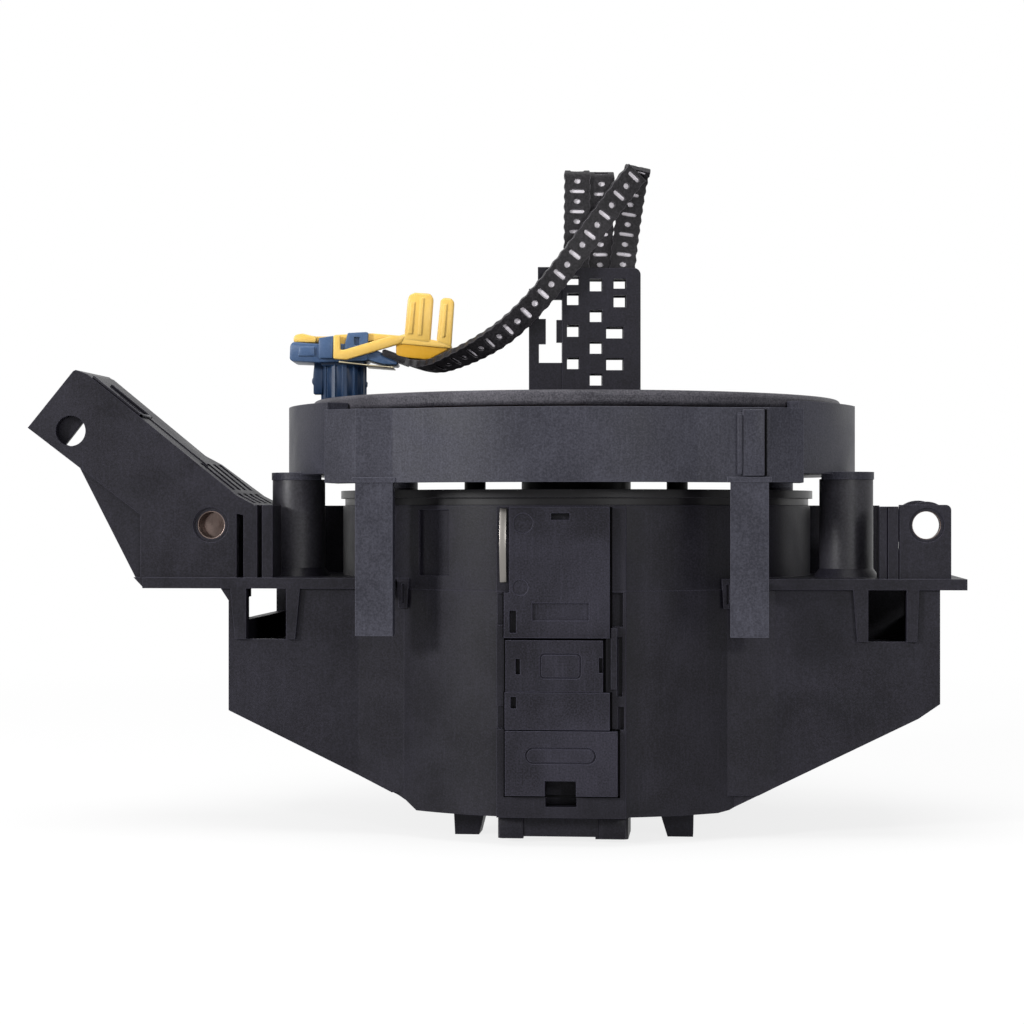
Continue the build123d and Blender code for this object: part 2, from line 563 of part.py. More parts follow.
save("squib_contacts", turned(Compound(children=contacts)))
slide_gap = 0.3
lock_z0 = body_z1 + slide_gap
lock = span(-55.4, -34.2, plug_y - 3.7, plug_y + 3.7, lock_z0, 89.3)
lock += span(-55.4, -51.8, plug_y - 5.2, plug_y + 5.2, lock_z0, 89.0)
lock += span(-47.6, -45.6, plug_y - 7.5, plug_y - 3.6, lock_z0, 89.3)
lock += slab_y([(-47.6, 84.9), (-45.6, 84.9), (-34.0, 87.3), (-34.0, 88.9), (-45.6, 86.5), (-45.6, 89.3),
                (-47.6, 89.3)], plug_y - 7.5, plug_y - 6.3)
lock += slab_y([(-35.6, 86.9), (-34.6, 86.6), (-27.0, 86.9), (-24.6, 87.9), (-24.6, 89.2), (-35.6, 89.4)],
               plug_y - 7.5, plug_y + 5.5)
lock += slab_y([(-33.8, 88.8), (-28.5, 88.8), (-28.0, 97.2), (-28.6, 97.9), (-33.0, 97.9)],
               plug_y - 7.5, plug_y - 5.7)
lock += slab_y([(-27.7, 87.8), (-24.6, 87.8), (-23.8, 96.6), (-24.4, 97.1), (-27.1, 97.1)],
               plug_y - 7.5, plug_y - 5.7)
save("squib_lock", turned(lock))

# Contact covers on the front pad.
cover_y0 = -48.0
groove = 0.35
upper = span(-10.1, 8.8, cover_y0, pad_y, 32.3, 40.4) + span(-9.2, 8.8, cover_y0, pad_y, 40.4, 55.7)
upper -= span(-1.65, 1.65, cover_y0, pad_y, 53.4, 54.6)
upper -= span(-5.1, 5.1, cover_y0, cover_y0 + 0.6, 35.4, 38.55)
upper -= span(-9.1, -7.9, cover_y0, pad_y, 33.2, 37.2)
upper -= rod_y(1.78, cover_y0, cover_y0 + 0.25, -6.67, 52.8) + rod_y(1.43, cover_y0, cover_y0 + 0.25, -7.2, 41.3)
save("contact_cover_upper", upper)
slide = span(-9.8, 7.6, cover_y0, pad_y, 22.7, 31.9)
slide -= span(-8.0, -7.2, cover_y0, pad_y, 25.8, 28.6)
slide -= span(6.9, 7.55, cover_y0, pad_y, 26.1, 28.8)
mark = Plane.XZ.offset(-cover_y0) * Pos(0, 27.3, 0)
slide -= extrude(mark * (RectangleRounded(7.4, 4.55, 0.8) - RectangleRounded(6.8, 3.95, 0.6)), amount=-groove)
save("contact_slide", slide)
bar = span(-9.95, 8.8, cover_y0, pad_y, 15.9, 22.6)
bar -= span(-8.9, -7.9, cover_y0, pad_y, 19.7, 21.8)
save("contact_bar", bar)
cover = span(-9.9, 10.2, cover_y0, pad_y, 4.1, 15.7)
cover -= span(-2.8, 2.8, cover_y0, pad_y, 4.1, 6.8)
mark = Plane.XZ.offset(-cover_y0) * Pos(0, 11.3, 0)
cover -= extrude(mark * (SlotOverall(12.7, 3.0) - SlotOverall(12.0, 2.3)), amount=-groove)
save("contact_cover_lower", cover)
leaf_t = 0.35
bow = [(-46.2 - leaf_t, 42.2), (-46.2 - leaf_t, 45.6), (-47.6, 48.4), (-47.9, 51.0), (-47.4, 53.6), (-46.2, 55.5)]
back = [(y + leaf_t, z) for y, z in reversed(bow[:-1])]
side = make_face(Plane.YZ.offset(-11.2) * Polyline(*bow, (-46.2, 54.9), *back, close=True))
save("earth_spring", extrude(side, amount=1.6, dir=(1, 0, 0)))
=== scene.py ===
"""Steering clock spring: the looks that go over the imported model.

Everything is in the frame's metres. The origin is the mouth of the column bore.
"""
import json
import math

import bpy
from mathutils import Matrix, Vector


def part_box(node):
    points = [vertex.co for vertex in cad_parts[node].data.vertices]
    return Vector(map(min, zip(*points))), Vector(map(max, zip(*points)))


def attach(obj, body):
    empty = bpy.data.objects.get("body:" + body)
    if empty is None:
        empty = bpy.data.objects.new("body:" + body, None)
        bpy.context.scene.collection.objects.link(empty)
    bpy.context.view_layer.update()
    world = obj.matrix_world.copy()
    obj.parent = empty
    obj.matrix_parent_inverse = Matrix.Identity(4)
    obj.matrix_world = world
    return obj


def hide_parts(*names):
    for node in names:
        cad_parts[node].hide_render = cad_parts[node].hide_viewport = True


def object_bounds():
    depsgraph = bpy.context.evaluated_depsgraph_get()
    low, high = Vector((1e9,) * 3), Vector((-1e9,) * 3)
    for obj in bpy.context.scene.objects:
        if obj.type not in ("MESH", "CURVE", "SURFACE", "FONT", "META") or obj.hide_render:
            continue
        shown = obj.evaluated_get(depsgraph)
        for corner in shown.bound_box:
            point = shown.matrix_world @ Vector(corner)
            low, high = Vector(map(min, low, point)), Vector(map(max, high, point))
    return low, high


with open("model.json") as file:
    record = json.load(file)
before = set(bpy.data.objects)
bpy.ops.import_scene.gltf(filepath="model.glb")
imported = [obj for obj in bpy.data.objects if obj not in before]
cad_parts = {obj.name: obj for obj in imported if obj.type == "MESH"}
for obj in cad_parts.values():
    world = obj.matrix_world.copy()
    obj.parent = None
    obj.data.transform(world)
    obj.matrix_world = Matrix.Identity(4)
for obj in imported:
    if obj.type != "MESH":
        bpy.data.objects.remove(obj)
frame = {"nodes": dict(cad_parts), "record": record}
cad_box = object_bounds()

bl_info = {
    "name": "Steering Clock Spring",
    "version": (1, 0, 0),
    "blender": (4, 5, 0),
    "location": "View3D > Sidebar > Clock Spring",
    "description": "Dresses the clock spring's frame with its finishes, ladder lead and fine parts",
    "category": "Object",
}

MM = 0.001
NODES = frame["nodes"]

# Rotor pieces are drawn facing the camera and then turned to their rest angle.
ROTOR_REST = math.radians(4.9)

# The lead's route in the rotor's frame, in mm: part.py's points, with the first 0.5 mm lower and the
# sixth to eighth up to 1 mm higher, since this curve cuts its corners in another way.
LEAD_ROUTE = [
    (10.8, -22.0, 118.9), (7.6, -23.2, 114.9), (3.7, -24.3, 109.4), (-1.7, -25.0, 102.1),
    (-7.5, -25.0, 94.9), (-13.3, -23.0, 89.2), (-18.8, -19.0, 86.0), (-23.7, -14.0, 84.1),
    (-28.2, -9.0, 82.8), (-32.4, -5.6, 83.7), (-36.4, -3.4, 85.4),
]

# How far the ladder lead is rolled about its own line at each point of the route, in degrees.
LEAD_ROLL = [0, 0, -2, -7, -16, -34, -54, -66, -76, -82, -84]

# The folded columns above the tower: each goes up behind the free lead and over at its top.
FOLDS = (
    ((-0.6, -19.7, 99.4), (-0.4, -19.7, 105.0), (-0.4, -19.6, 112.0), (-0.3, -19.5, 117.4),
     (-0.3, -19.2, 119.0), (-0.3, -18.2, 119.3), (-0.3, -17.5, 117.8), (-0.3, -17.4, 113.0)),
    ((4.0, -19.0, 98.9), (4.1, -19.0, 105.0), (4.2, -18.9, 112.0), (4.3, -18.8, 117.2),
     (4.3, -18.5, 118.8), (4.3, -17.5, 119.1), (4.3, -16.8, 117.6), (4.3, -16.7, 113.0)),
    ((8.1, -19.7, 98.9), (8.4, -19.7, 103.0), (9.2, -19.6, 109.0), (10.0, -19.5, 114.5),
     (10.6, -19.4, 117.6), (11.0, -20.0, 119.3), (11.1, -21.2, 119.8), (10.9, -22.0, 119.0)),
)

# The folded lead is a little wider and closer pitched than the free one.
FOLD_WIDEN = 1.07
FOLD_PITCH = 0.88


def linear(hex_colour):
    """An sRGB hex colour as linear red, green and blue."""
    out = []
    for k in (1, 3, 5):
        v = int(hex_colour[k:k + 2], 16) / 255
        out.append(v / 12.92 if v <= 0.04045 else ((v + 0.055) / 1.055) ** 2.4)
    return tuple(out)


class LeadSettings(bpy.types.PropertyGroup):
    """Sizes of the flat ladder lead."""

    width: bpy.props.FloatProperty(name="Width", description="Width over the band", default=4.5 * MM,
                                   min=1 * MM, unit="LENGTH", precision=4)
    thick: bpy.props.FloatProperty(name="Thickness", description="Thickness of the band",
                                   default=1.25 * MM, min=0.2 * MM, unit="LENGTH", precision=4)
    scallop: bpy.props.FloatProperty(name="Scallop", description="Depth of the waves along its edges",
                                     default=0.1 * MM, min=0, unit="LENGTH", precision=5)
    pitch: bpy.props.FloatProperty(name="Pitch", description="Distance from one slot to the next",
                                   default=4.6 * MM, min=1 * MM, unit="LENGTH", precision=4)
    slot: bpy.props.FloatProperty(name="Slot", description="Length of a slot across the band",
                                  default=2.6 * MM, min=0.5 * MM, unit="LENGTH", precision=4)
    slot_w: bpy.props.FloatProperty(name="Slot width", description="Width of a slot", default=0.86 * MM,
                                    min=0.1 * MM, unit="LENGTH", precision=4)
    hole: bpy.props.FloatProperty(name="Hole", description="Diameter of a round hole", default=1.15 * MM,
                                  min=0.1 * MM, unit="LENGTH", precision=4)
    film: bpy.props.FloatProperty(name="Film", description="Thickness of the conductor inside the band",
                                  default=0.3 * MM, min=0.05 * MM, unit="LENGTH", precision=5)
    lap: bpy.props.FloatProperty(name="Lap", description="How much wider the conductor is than a slot",
                                 default=0.5 * MM, min=0.1 * MM, unit="LENGTH", precision=4)


class FinishSettings(bpy.types.PropertyGroup):
    """Colours of the mouldings."""

    housing: bpy.props.FloatVectorProperty(name="Housing", description="Nylon of the housing and frame",
                                           subtype="COLOR", size=3, default=linear("#121116"))
    case: bpy.props.FloatVectorProperty(name="Case", description="Grey black of the cassette",
                                        subtype="COLOR", size=3, default=linear("#212129"))
    disc: bpy.props.FloatVectorProperty(name="Disc", description="Grey of the disc on top",
                                        subtype="COLOR", size=3, default=linear("#28272d"))
    plug: bpy.props.FloatVectorProperty(name="Plug", description="Blue of the airbag plug",
                                        subtype="COLOR", size=3, default=linear("#2c476b"))
    lock: bpy.props.FloatVectorProperty(name="Lock", description="Yellow of the sliding lock",
                                        subtype="COLOR", size=3, default=linear("#d7af52"))


class StageSettings(bpy.types.PropertyGroup):
    """Camera and lamps."""

    distance: bpy.props.FloatProperty(name="Distance", description="Camera to the column axis",
                                      default=0.48, min=0.1, unit="LENGTH")
    lens: bpy.props.FloatProperty(name="Lens", description="Focal length in mm on a 36 mm sensor",
                                  default=85.25, min=10)
    eye: bpy.props.FloatProperty(name="Eye", description="Camera height in the frame", default=54.8 * MM,
                                 unit="LENGTH", precision=4)
    side: bpy.props.FloatProperty(name="Side", description="Camera's place along the photo's width",
                                  default=-12.7 * MM, unit="LENGTH", precision=4)
    key: bpy.props.FloatProperty(name="Key", description="Power that each lamp takes its share of, in watts",
                                 default=3.0, min=0)
    sky: bpy.props.FloatProperty(name="Sky", description="Strength of the white world as a light",
                                 default=0.42, min=0)


def turned(point):
    """A point of the rotor's frame in mm, turned to the rest angle, in metres."""
    c = math.cos(ROTOR_REST)
    s = math.sin(ROTOR_REST)
    x, y, z = point
    return Vector(((x * c - y * s) * MM, (x * s + y * c) * MM, z * MM))


def add(tree, kind, settings=None, links=None):
    """Adds one node, sets its properties and inputs, and links the outputs that are given."""
    node = tree.nodes.new(kind)
    for key, value in (settings or {}).items():
        if isinstance(key, int) or key in node.inputs:
            node.inputs[key].default_value = value
        else:
            setattr(node, key, value)
    for key, value in (links or {}).items():
        tree.links.new(value, node.inputs[key])
    return node


def clear_selection():
    """Nothing selected and object mode, so that an operator acts on its own piece alone."""
    if bpy.context.object and bpy.context.object.mode != "OBJECT":
        bpy.ops.object.mode_set(mode="OBJECT")
    bpy.ops.object.select_all(action="DESELECT")


def take(*pieces):
    """Selects these pieces alone and makes the first of them active."""
    clear_selection()
    for piece in pieces:
        piece.select_set(True)
    bpy.context.view_layer.objects.active = pieces[0]


def joined(parts):
    """The parts as one piece, which is the first of them."""
    take(*parts)
    if len(parts) > 1:
        bpy.ops.object.join()
    return bpy.context.object


def cylinder(sides, radius, length, place, turn=0.0):
    """A cylinder in mm, along Z or turned about X, with its place in its mesh."""
    clear_selection()
    bpy.ops.mesh.primitive_cylinder_add(vertices=sides, radius=radius * MM, depth=length * MM,
                                        location=[v * MM for v in place], rotation=(turn, 0, 0))
    bpy.ops.object.transform_apply(location=True, rotation=True, scale=True)
    return bpy.context.object


def empty_tree(owner):
    """The owner's node tree, with nothing in it."""
    owner.use_nodes = True
    owner.node_tree.nodes.clear()
    return owner.node_tree


# The finishes that were made, by their keys.
MATERIALS = {}


def start_material(key, name, colour, roughness, metallic=0.0):
    """Keeps a new material under its key: an empty tree with its shader, and the object coordinates."""
    made = bpy.data.materials.new(name)
    made.diffuse_color = (*colour, 1)
    MATERIALS[key] = made
    tree = empty_tree(made)
    shader = add(tree, "ShaderNodeBsdfPrincipled", {"Base Color": (*colour, 1), "Roughness": roughness,
                                                    "Metallic": metallic})
    add(tree, "ShaderNodeOutputMaterial", links={"Surface": shader.outputs[0]})
    place = add(tree, "ShaderNodeTexCoord").outputs["Object"]
    return tree, shader, place


# Size of the cloudy flow marks, of the edges' rounding and of the upright scuffs (width, length), in mm.
CLOUD_MM = 13
EDGE_MM = 0.22
SCUFF_MM = (0.45, 7.0)


def moulded(key, name, colour, pale, roughness, grain_mm, depth_mm, haze=0.35, gloss=0.3, edge=0.6):
    """Injection moulded plastic: eroded grain, cloudy flow marks, rounded edges whose paler colour is a
    painted highlight.
    """
    tree, shader, place = start_material(key, name, colour, roughness)
    shader.inputs["Specular IOR Level"].default_value = gloss
    grain = add(tree, "ShaderNodeTexNoise", {"Scale": 1 / (grain_mm * MM), "Detail": 3.0, "Roughness": 0.65},
                {"Vector": place})
    cloud = add(tree, "ShaderNodeTexNoise", {"Scale": 1 / (CLOUD_MM * MM), "Detail": 4.0, "Distortion": 0.6},
                {"Vector": place})
    upright = add(tree, "ShaderNodeMapping", {"Scale": (1.0, 1.0, SCUFF_MM[0] / SCUFF_MM[1])},
                  {"Vector": place})
    scuff = add(tree, "ShaderNodeTexNoise", {"Scale": 1 / (SCUFF_MM[0] * MM), "Detail": 2.0},
                {"Vector": upright.outputs[0]})
    speck = add(tree, "ShaderNodeMapRange", {"From Min": 0.36, "From Max": 0.76, "To Max": 0.6},
                {"Value": grain.outputs["Fac"]})
    lines = add(tree, "ShaderNodeMapRange", {"From Min": 0.52, "From Max": 0.76, "To Max": 0.14},
                {"Value": scuff.outputs["Fac"]})
    flow = add(tree, "ShaderNodeMapRange", {"From Min": 0.35, "From Max": 0.68, "To Min": -0.12,
                                            "To Max": 0.16}, {"Value": cloud.outputs["Fac"]})
    fine = add(tree, "ShaderNodeMath", {"operation": "ADD"}, {0: speck.outputs[0], 1: lines.outputs[0]})
    marks = add(tree, "ShaderNodeMath", {"operation": "ADD", "use_clamp": True},
                {0: flow.outputs[0], 1: fine.outputs[0]})
    dust = add(tree, "ShaderNodeMath", {"operation": "MULTIPLY", 1: haze}, {0: marks.outputs[0]})
    round_edge = add(tree, "ShaderNodeBevel", {"samples": 4, "Radius": EDGE_MM * MM})
    flat = add(tree, "ShaderNodeNewGeometry")
    turn = add(tree, "ShaderNodeVectorMath", {"operation": "DOT_PRODUCT"},
               {0: round_edge.outputs[0], 1: flat.outputs["Normal"]})
    # Paler colour where the bevelled normal turns away from the face's: a painted highlight along the edges.
    edge_highlight = add(tree, "ShaderNodeMapRange", {"From Min": 0.99, "From Max": 0.86, "To Max": edge},
               {"Value": turn.outputs["Value"]})
    # The colour goes pale by the stronger of the dust marks and the painted edge highlight.
    light = add(tree, "ShaderNodeMath", {"operation": "MAXIMUM"}, {0: edge_highlight.outputs[0], 1: dust.outputs[0]})
    tint = add(tree, "ShaderNodeMix", {"data_type": "RGBA", 6: (*colour, 1), 7: (*linear(pale), 1)},
               {"Factor": light.outputs[0]})
    tree.links.new(tint.outputs[2], shader.inputs["Base Color"])
    rough = add(tree, "ShaderNodeMapRange", {"From Min": 0.3, "From Max": 0.7, "To Min": roughness - 0.08,
                                             "To Max": roughness + 0.1}, {"Value": cloud.outputs["Fac"]})
    tree.links.new(rough.outputs[0], shader.inputs["Roughness"])
    bump = add(tree, "ShaderNodeBump", {"Strength": 0.6, "Distance": depth_mm * MM},
               {"Height": grain.outputs["Fac"], "Normal": round_edge.outputs[0]})
    tree.links.new(bump.outputs[0], shader.inputs["Normal"])


def metal(key, name, hex_colour, roughness, grain_mm):
    """Rolled or plated metal with fine streaks."""
    tree, shader, place = start_material(key, name, linear(hex_colour), roughness, 1.0)
    streak = add(tree, "ShaderNodeMapping", {"Scale": (1.0, 1.0, 0.08)}, {"Vector": place})
    noise = add(tree, "ShaderNodeTexNoise", {"Scale": 1 / (grain_mm * MM), "Detail": 2.0},
                {"Vector": streak.outputs[0]})
    rough = add(tree, "ShaderNodeMapRange", {"To Min": roughness - 0.07, "To Max": roughness + 0.1},
                {"Value": noise.outputs["Fac"]})
    tree.links.new(rough.outputs[0], shader.inputs["Roughness"])
    bump = add(tree, "ShaderNodeBump", {"Strength": 0.3, "Distance": 0.01 * MM},
               {"Height": noise.outputs["Fac"]})
    tree.links.new(bump.outputs[0], shader.inputs["Normal"])


def make_materials(tint):
    """Every finish, named for the real material and how its surface was made."""
    # Glass filled nylon 66 from an eroded mould: near black, faint pale flow marks, soft sheen.
    moulded("nylon_housing", "nylon66_glass_filled_moulded", tint.housing, "#464452", 0.42, 0.3, 0.03, 0.35,
            0.14)
    # The same nylon on the small covers, a touch smoother.
    moulded("nylon_cover", "nylon66_cover_moulded", tint.housing, "#535162", 0.4, 0.3, 0.02, 0.42, 0.14)
    # PBT of the cassette: a cooler grey black with a coarser spark-eroded texture.
    moulded("pbt_case", "pbt_spark_eroded_grey", tint.case, "#62626f", 0.46, 0.34, 0.05, 0.42, 0.18)
    # The disc on top has the same resin with the strongest texture: its pale grain shows at the rim.
    moulded("pbt_disc", "pbt_spark_eroded_disc", tint.disc, "#85828a", 0.5, 0.3, 0.08, 0.55, 0.18)
    # The posts' nylon, rubbed smooth where the cassette's lugs slide on: long upright highlights. Its colour
    # is a lighter copy of the frame's nylon: painted light on the posts.
    moulded("nylon_post_lit", "nylon66_post_lighter_copy", linear("#1a191e"), "#56545e", 0.46, 0.5, 0.03, 0.35, 0.3)
    # Black strips in the joints round each moulded cover: painted shade, where the gaps lie in shade.
    moulded("joint_shadow", "joint_painted_shade_black", linear("#050506"), "#0c0c0d", 0.8, 0.5, 0.005, 0.2, 0.05,
            0.0)
    # Unfilled acetal of the lid: polished mould, clear soft highlights.
    moulded("acetal_gloss", "acetal_polished_black", linear("#0d0c0f"), "#37353b", 0.36, 1.2, 0.008, 0.2,
            0.2)
    # Acetal of the turning hub and the column sleeve: a duller black than the lid's.
    moulded("acetal_hub", "acetal_moulded_black", linear("#121114"), "#333136", 0.4, 0.6, 0.015, 0.3, 0.2)
    # PBT of the plug, dyed blue, satin.
    moulded("pbt_blue", "pbt_moulded_blue", tint.plug, "#788fae", 0.4, 0.4, 0.02, 0.22, 0.4, 0.5)
    # PBT of the barrel, a darker blue where it stands in its own shade.
    moulded("pbt_blue_dark", "pbt_moulded_blue_dark", linear("#0c2542"), "#2c557f", 0.36, 0.5, 0.02, 0.2,
            0.3, 0.5)
    # PBT of the sliding lock, dyed yellow, satin; its pale edges are a painted highlight.
    moulded("pbt_yellow", "pbt_moulded_yellow", tint.lock, "#ecd083", 0.38, 0.8, 0.012, 0.3, 0.4)
    # The same lock's yellow made deeper for the wedge: painted shade, where the wedge lies in its own shade.
    moulded("pbt_yellow_shaded", "pbt_moulded_yellow_painted_shade", linear("#c5921c"), "#d2ab4c", 0.4, 0.8, 0.012,
            0.3, 0.25, 0.4)
    # Flexible PVC over the lead's wires; its pale edges are a painted highlight.
    moulded("pvc_lead", "pvc_extruded_black", linear("#121113"), "#6f6c72", 0.42, 0.4, 0.03, 0.25, 0.14,
            0.75)
    # Polyester film of the flat conductor inside the sleeve: pale lilac grey, seen through the slots.
    moulded("film_white", "polyester_film_white", linear("#d9d4db"), "#f0eef2", 0.4, 2.0, 0.004, 0.2, 0.3,
            0.2)
    # Polyester film of the ribbon: amber, smooth.
    moulded("film_ribbon", "polyester_film_amber", linear("#9a5a22"), "#b87a38", 0.3, 2.0, 0.005)
    # Solder resist on glass epoxy: green, smooth.
    moulded("epoxy_board", "glass_epoxy_solder_resist", linear("#1c4a2b"), "#2b6340", 0.35, 0.6, 0.01)
    # Bright spring steel of the screws.
    metal("steel_bright", "stainless_spring_steel_rolled", "#c9c9cc", 0.28, 0.3)
    # Dull nickel silver of the earth leaf.
    metal("leaf_metal", "nickel_silver_stamped", "#85817d", 0.34, 0.3)
    # Zinc plated steel of the bushes in the two fixing holes: pinkish grey, soft streaks.
    metal("bush_metal", "zinc_plated_steel_turned", "#756762", 0.4, 0.4)
    # Tin plated brass of the terminals and the plug's sheet.
    metal("brass_tin", "tin_plated_brass_stamped", "#a89e84", 0.36, 0.3)


NODE_FINISH = {
    "lower_housing": "nylon_housing", "carrier_frame": "nylon_housing", "harness_socket": "nylon_housing",
    "contact_cover_upper": "nylon_cover", "contact_slide": "nylon_cover",
    "contact_bar": "nylon_cover", "contact_cover_lower": "nylon_cover",
    "cassette_case": "pbt_case", "rotor_disc": "pbt_disc", "sensor_lid": "acetal_gloss",
    "column_sleeve": "acetal_hub", "drive_hub": "acetal_hub", "code_disc": "acetal_hub",
    "light_forks": "acetal_gloss", "board_chips": "acetal_gloss", "ribbon_clip": "acetal_hub",
    "ribbon_cable": "film_ribbon", "circuit_board": "epoxy_board", "socket_terminals": "brass_tin",
    "wheel_socket_pins": "brass_tin", "earth_spring": "leaf_metal", "board_screws": "steel_bright",
    "cassette_screws": "steel_bright", "squib_contacts": "steel_bright", "cable_tower": "nylon_housing",
    "tower_bracket": "nylon_housing", "lead_stack": "pvc_lead", "lead_cord": "pvc_lead",
    "squib_body": "pbt_blue", "squib_barrel": "pbt_blue_dark", "squib_lock": "pbt_yellow",
}


class OBJECT_OT_spring_finishes(bpy.types.Operator):
    """Gives every CAD node its finish"""

    bl_idname = "object.spring_finishes"
    bl_label = "Finishes"

    def execute(self, context):
        clear_selection()
        make_materials(context.scene.spring_finish)
        for name, finish in NODE_FINISH.items():
            node = NODES[name]
            node.data.materials.clear()
            node.data.materials.append(MATERIALS[finish])
        return {"FINISHED"}


def settle(piece, name, body):
    """Applies the piece's place to its mesh, names it and gives it its body."""
    take(piece)
    bpy.ops.object.transform_apply(location=True, rotation=True, scale=True)
    piece.name = name
    piece.data.name = name
    clear_selection()
    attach(piece, body)


def pick(piece, test, mode="VERT"):
    """In edit mode, selects the vertices, or the faces, that pass the test."""
    bpy.ops.mesh.select_mode(type="VERT")
    bpy.ops.mesh.select_all(action="DESELECT")
    bpy.ops.mesh.select_mode(type=mode)
    bpy.ops.object.mode_set(mode="OBJECT")
    parts = piece.data.vertices if mode == "VERT" else piece.data.polygons
    for part in parts:
        part.select = test(part)
    bpy.ops.object.mode_set(mode="EDIT")


def finish_modifiers(piece, *names):
    """Applies the modifiers in order."""
    take(piece)
    for name in names:
        bpy.ops.object.modifier_apply(modifier=name)


def cut(piece, cutter):
    """Takes the cutter's shape out of the piece and deletes the cutter."""
    hole = piece.modifiers.new("cut", "BOOLEAN")
    hole.operation = "DIFFERENCE"
    hole.solver = "EXACT"
    hole.object = cutter
    finish_modifiers(piece, hole.name)
    bpy.data.objects.remove(cutter)


def soften(piece, width_mm, segments=2, angle=35):
    """Rounds the piece's edges and smooths its faces."""
    bevel = piece.modifiers.new("edges", "BEVEL")
    bevel.width = width_mm * MM
    bevel.segments = segments
    bevel.limit_method = "ANGLE"
    bevel.angle_limit = math.radians(angle)
    finish_modifiers(piece, bevel.name)
    bpy.ops.object.shade_smooth_by_angle(angle=math.radians(40))


# Slices in one pitch of the band and of the conductor inside it, so that both bend smoothly.
BAND_STEPS = 12
FILM_STEPS = 6


def ladder_unit(lead):
    """One pitch of the ladder lead along +X: a band with wavy edges, a slot and a round hole."""
    clear_selection()
    bpy.ops.mesh.primitive_cube_add(size=1, location=(lead.pitch / 2, 0, 0))
    piece = bpy.context.object
    piece.scale = (lead.pitch, lead.width, lead.thick)
    bpy.ops.object.transform_apply(location=True, rotation=True, scale=True)
    bpy.ops.object.mode_set(mode="EDIT")
    for k in range(1, BAND_STEPS):
        bpy.ops.mesh.select_all(action="SELECT")
        bpy.ops.mesh.bisect(plane_co=(lead.pitch * k / BAND_STEPS, 0, 0), plane_no=(1, 0, 0))
    for k in range(BAND_STEPS + 1):
        x = lead.pitch * k / BAND_STEPS
        pick(piece, lambda v: abs(v.co.x - x) < 1e-5)
        wave = 1 + 2 * lead.scallop / lead.width * math.cos(4 * math.pi * k / BAND_STEPS)
        bpy.ops.transform.resize(value=(1, wave, 1))
    bpy.ops.object.mode_set(mode="OBJECT")
    clear_selection()
    bpy.ops.mesh.primitive_cylinder_add(vertices=16, radius=lead.slot_w / 2, depth=4 * lead.thick,
                                        location=(lead.pitch / 4, 0, 0))
    slot = bpy.context.object
    reach = (lead.slot - lead.slot_w) / 2
    bpy.ops.object.mode_set(mode="EDIT")
    for side in (-1, 1):
        pick(slot, lambda v: v.co.y * side > 1e-6)
        bpy.ops.transform.translate(value=(0, side * reach, 0))
    bpy.ops.object.mode_set(mode="OBJECT")
    cut(piece, slot)
    clear_selection()
    bpy.ops.mesh.primitive_cylinder_add(vertices=16, radius=lead.hole / 2, depth=4 * lead.thick,
                                        location=(lead.pitch * 3 / 4, 0, 0))
    cut(piece, bpy.context.object)
    bpy.ops.object.mode_set(mode="EDIT")
    ends = (0, lead.pitch)
    pick(piece, lambda f: abs(f.normal.x) > 0.99 and min(abs(f.center.x - x) for x in ends) < 1e-5, "FACE")
    bpy.ops.mesh.delete(type="FACE")
    bpy.ops.object.mode_set(mode="OBJECT")
    return piece


def route_curve(name, points, rolls, twist):
    """A smooth open NURBS curve with the route's points as its control points, and its roll at each."""
    data = bpy.data.curves.new(name, "CURVE")
    data.dimensions = "3D"
    data.twist_mode = twist
    data.resolution_u = 16
    spline = data.splines.new("NURBS")
    spline.points.add(len(points) - 1)
    for point, place, roll in zip(spline.points, points, rolls):
        point.co = (*place, 1)
        point.tilt = math.radians(roll)
    spline.order_u = 3
    spline.use_endpoint_u = True
    curve = bpy.data.objects.new(name, data)
    bpy.context.scene.collection.objects.link(curve)
    bpy.context.view_layer.update()
    return curve


def centre_line(curve):
    """The points of the curve's own line."""
    graph = bpy.context.evaluated_depsgraph_get()
    mesh = bpy.data.meshes.new_from_object(curve.evaluated_get(graph))
    points = [v.co.copy() for v in mesh.vertices]
    bpy.data.meshes.remove(mesh)
    return points


def line_length(points):
    """Length along the points."""
    return sum((b - a).length for a, b in zip(points, points[1:]))


def film_unit(lead):
    """One pitch of the pale flat conductor inside the ladder sleeve."""
    clear_selection()
    bpy.ops.mesh.primitive_cube_add(size=1, location=(lead.pitch / 2, 0, 0))
    piece = bpy.context.object
    piece.scale = (lead.pitch, lead.slot + lead.lap, lead.film)
    bpy.ops.object.transform_apply(location=True, rotation=True, scale=True)
    bpy.ops.object.mode_set(mode="EDIT")
    for k in range(1, FILM_STEPS):
        bpy.ops.mesh.select_all(action="SELECT")
        bpy.ops.mesh.bisect(plane_co=(lead.pitch * k / FILM_STEPS, 0, 0), plane_no=(1, 0, 0))
    pick(piece, lambda f: abs(f.normal.x) > 0.99, "FACE")
    bpy.ops.mesh.delete(type="FACE")
    bpy.ops.object.mode_set(mode="OBJECT")
    return piece


def sheathed_lead(curve, lead, widen=1.0, pitch=1.0):
    """The ladder sleeve and the pale conductor inside it, joined. Returns the piece and its line."""
    line = centre_line(curve)
    sleeve = bent_along(ladder_unit(lead), curve, line, lead, widen, pitch)
    soften(sleeve, 0.09, 1, 45)
    sleeve.data.materials.append(MATERIALS["pvc_lead"])
    film = bent_along(film_unit(lead), curve, line, lead, 1.0, pitch)
    film.data.materials.append(MATERIALS["film_white"])
    piece = joined([sleeve, film])
    bpy.data.objects.remove(curve)
    return piece, line


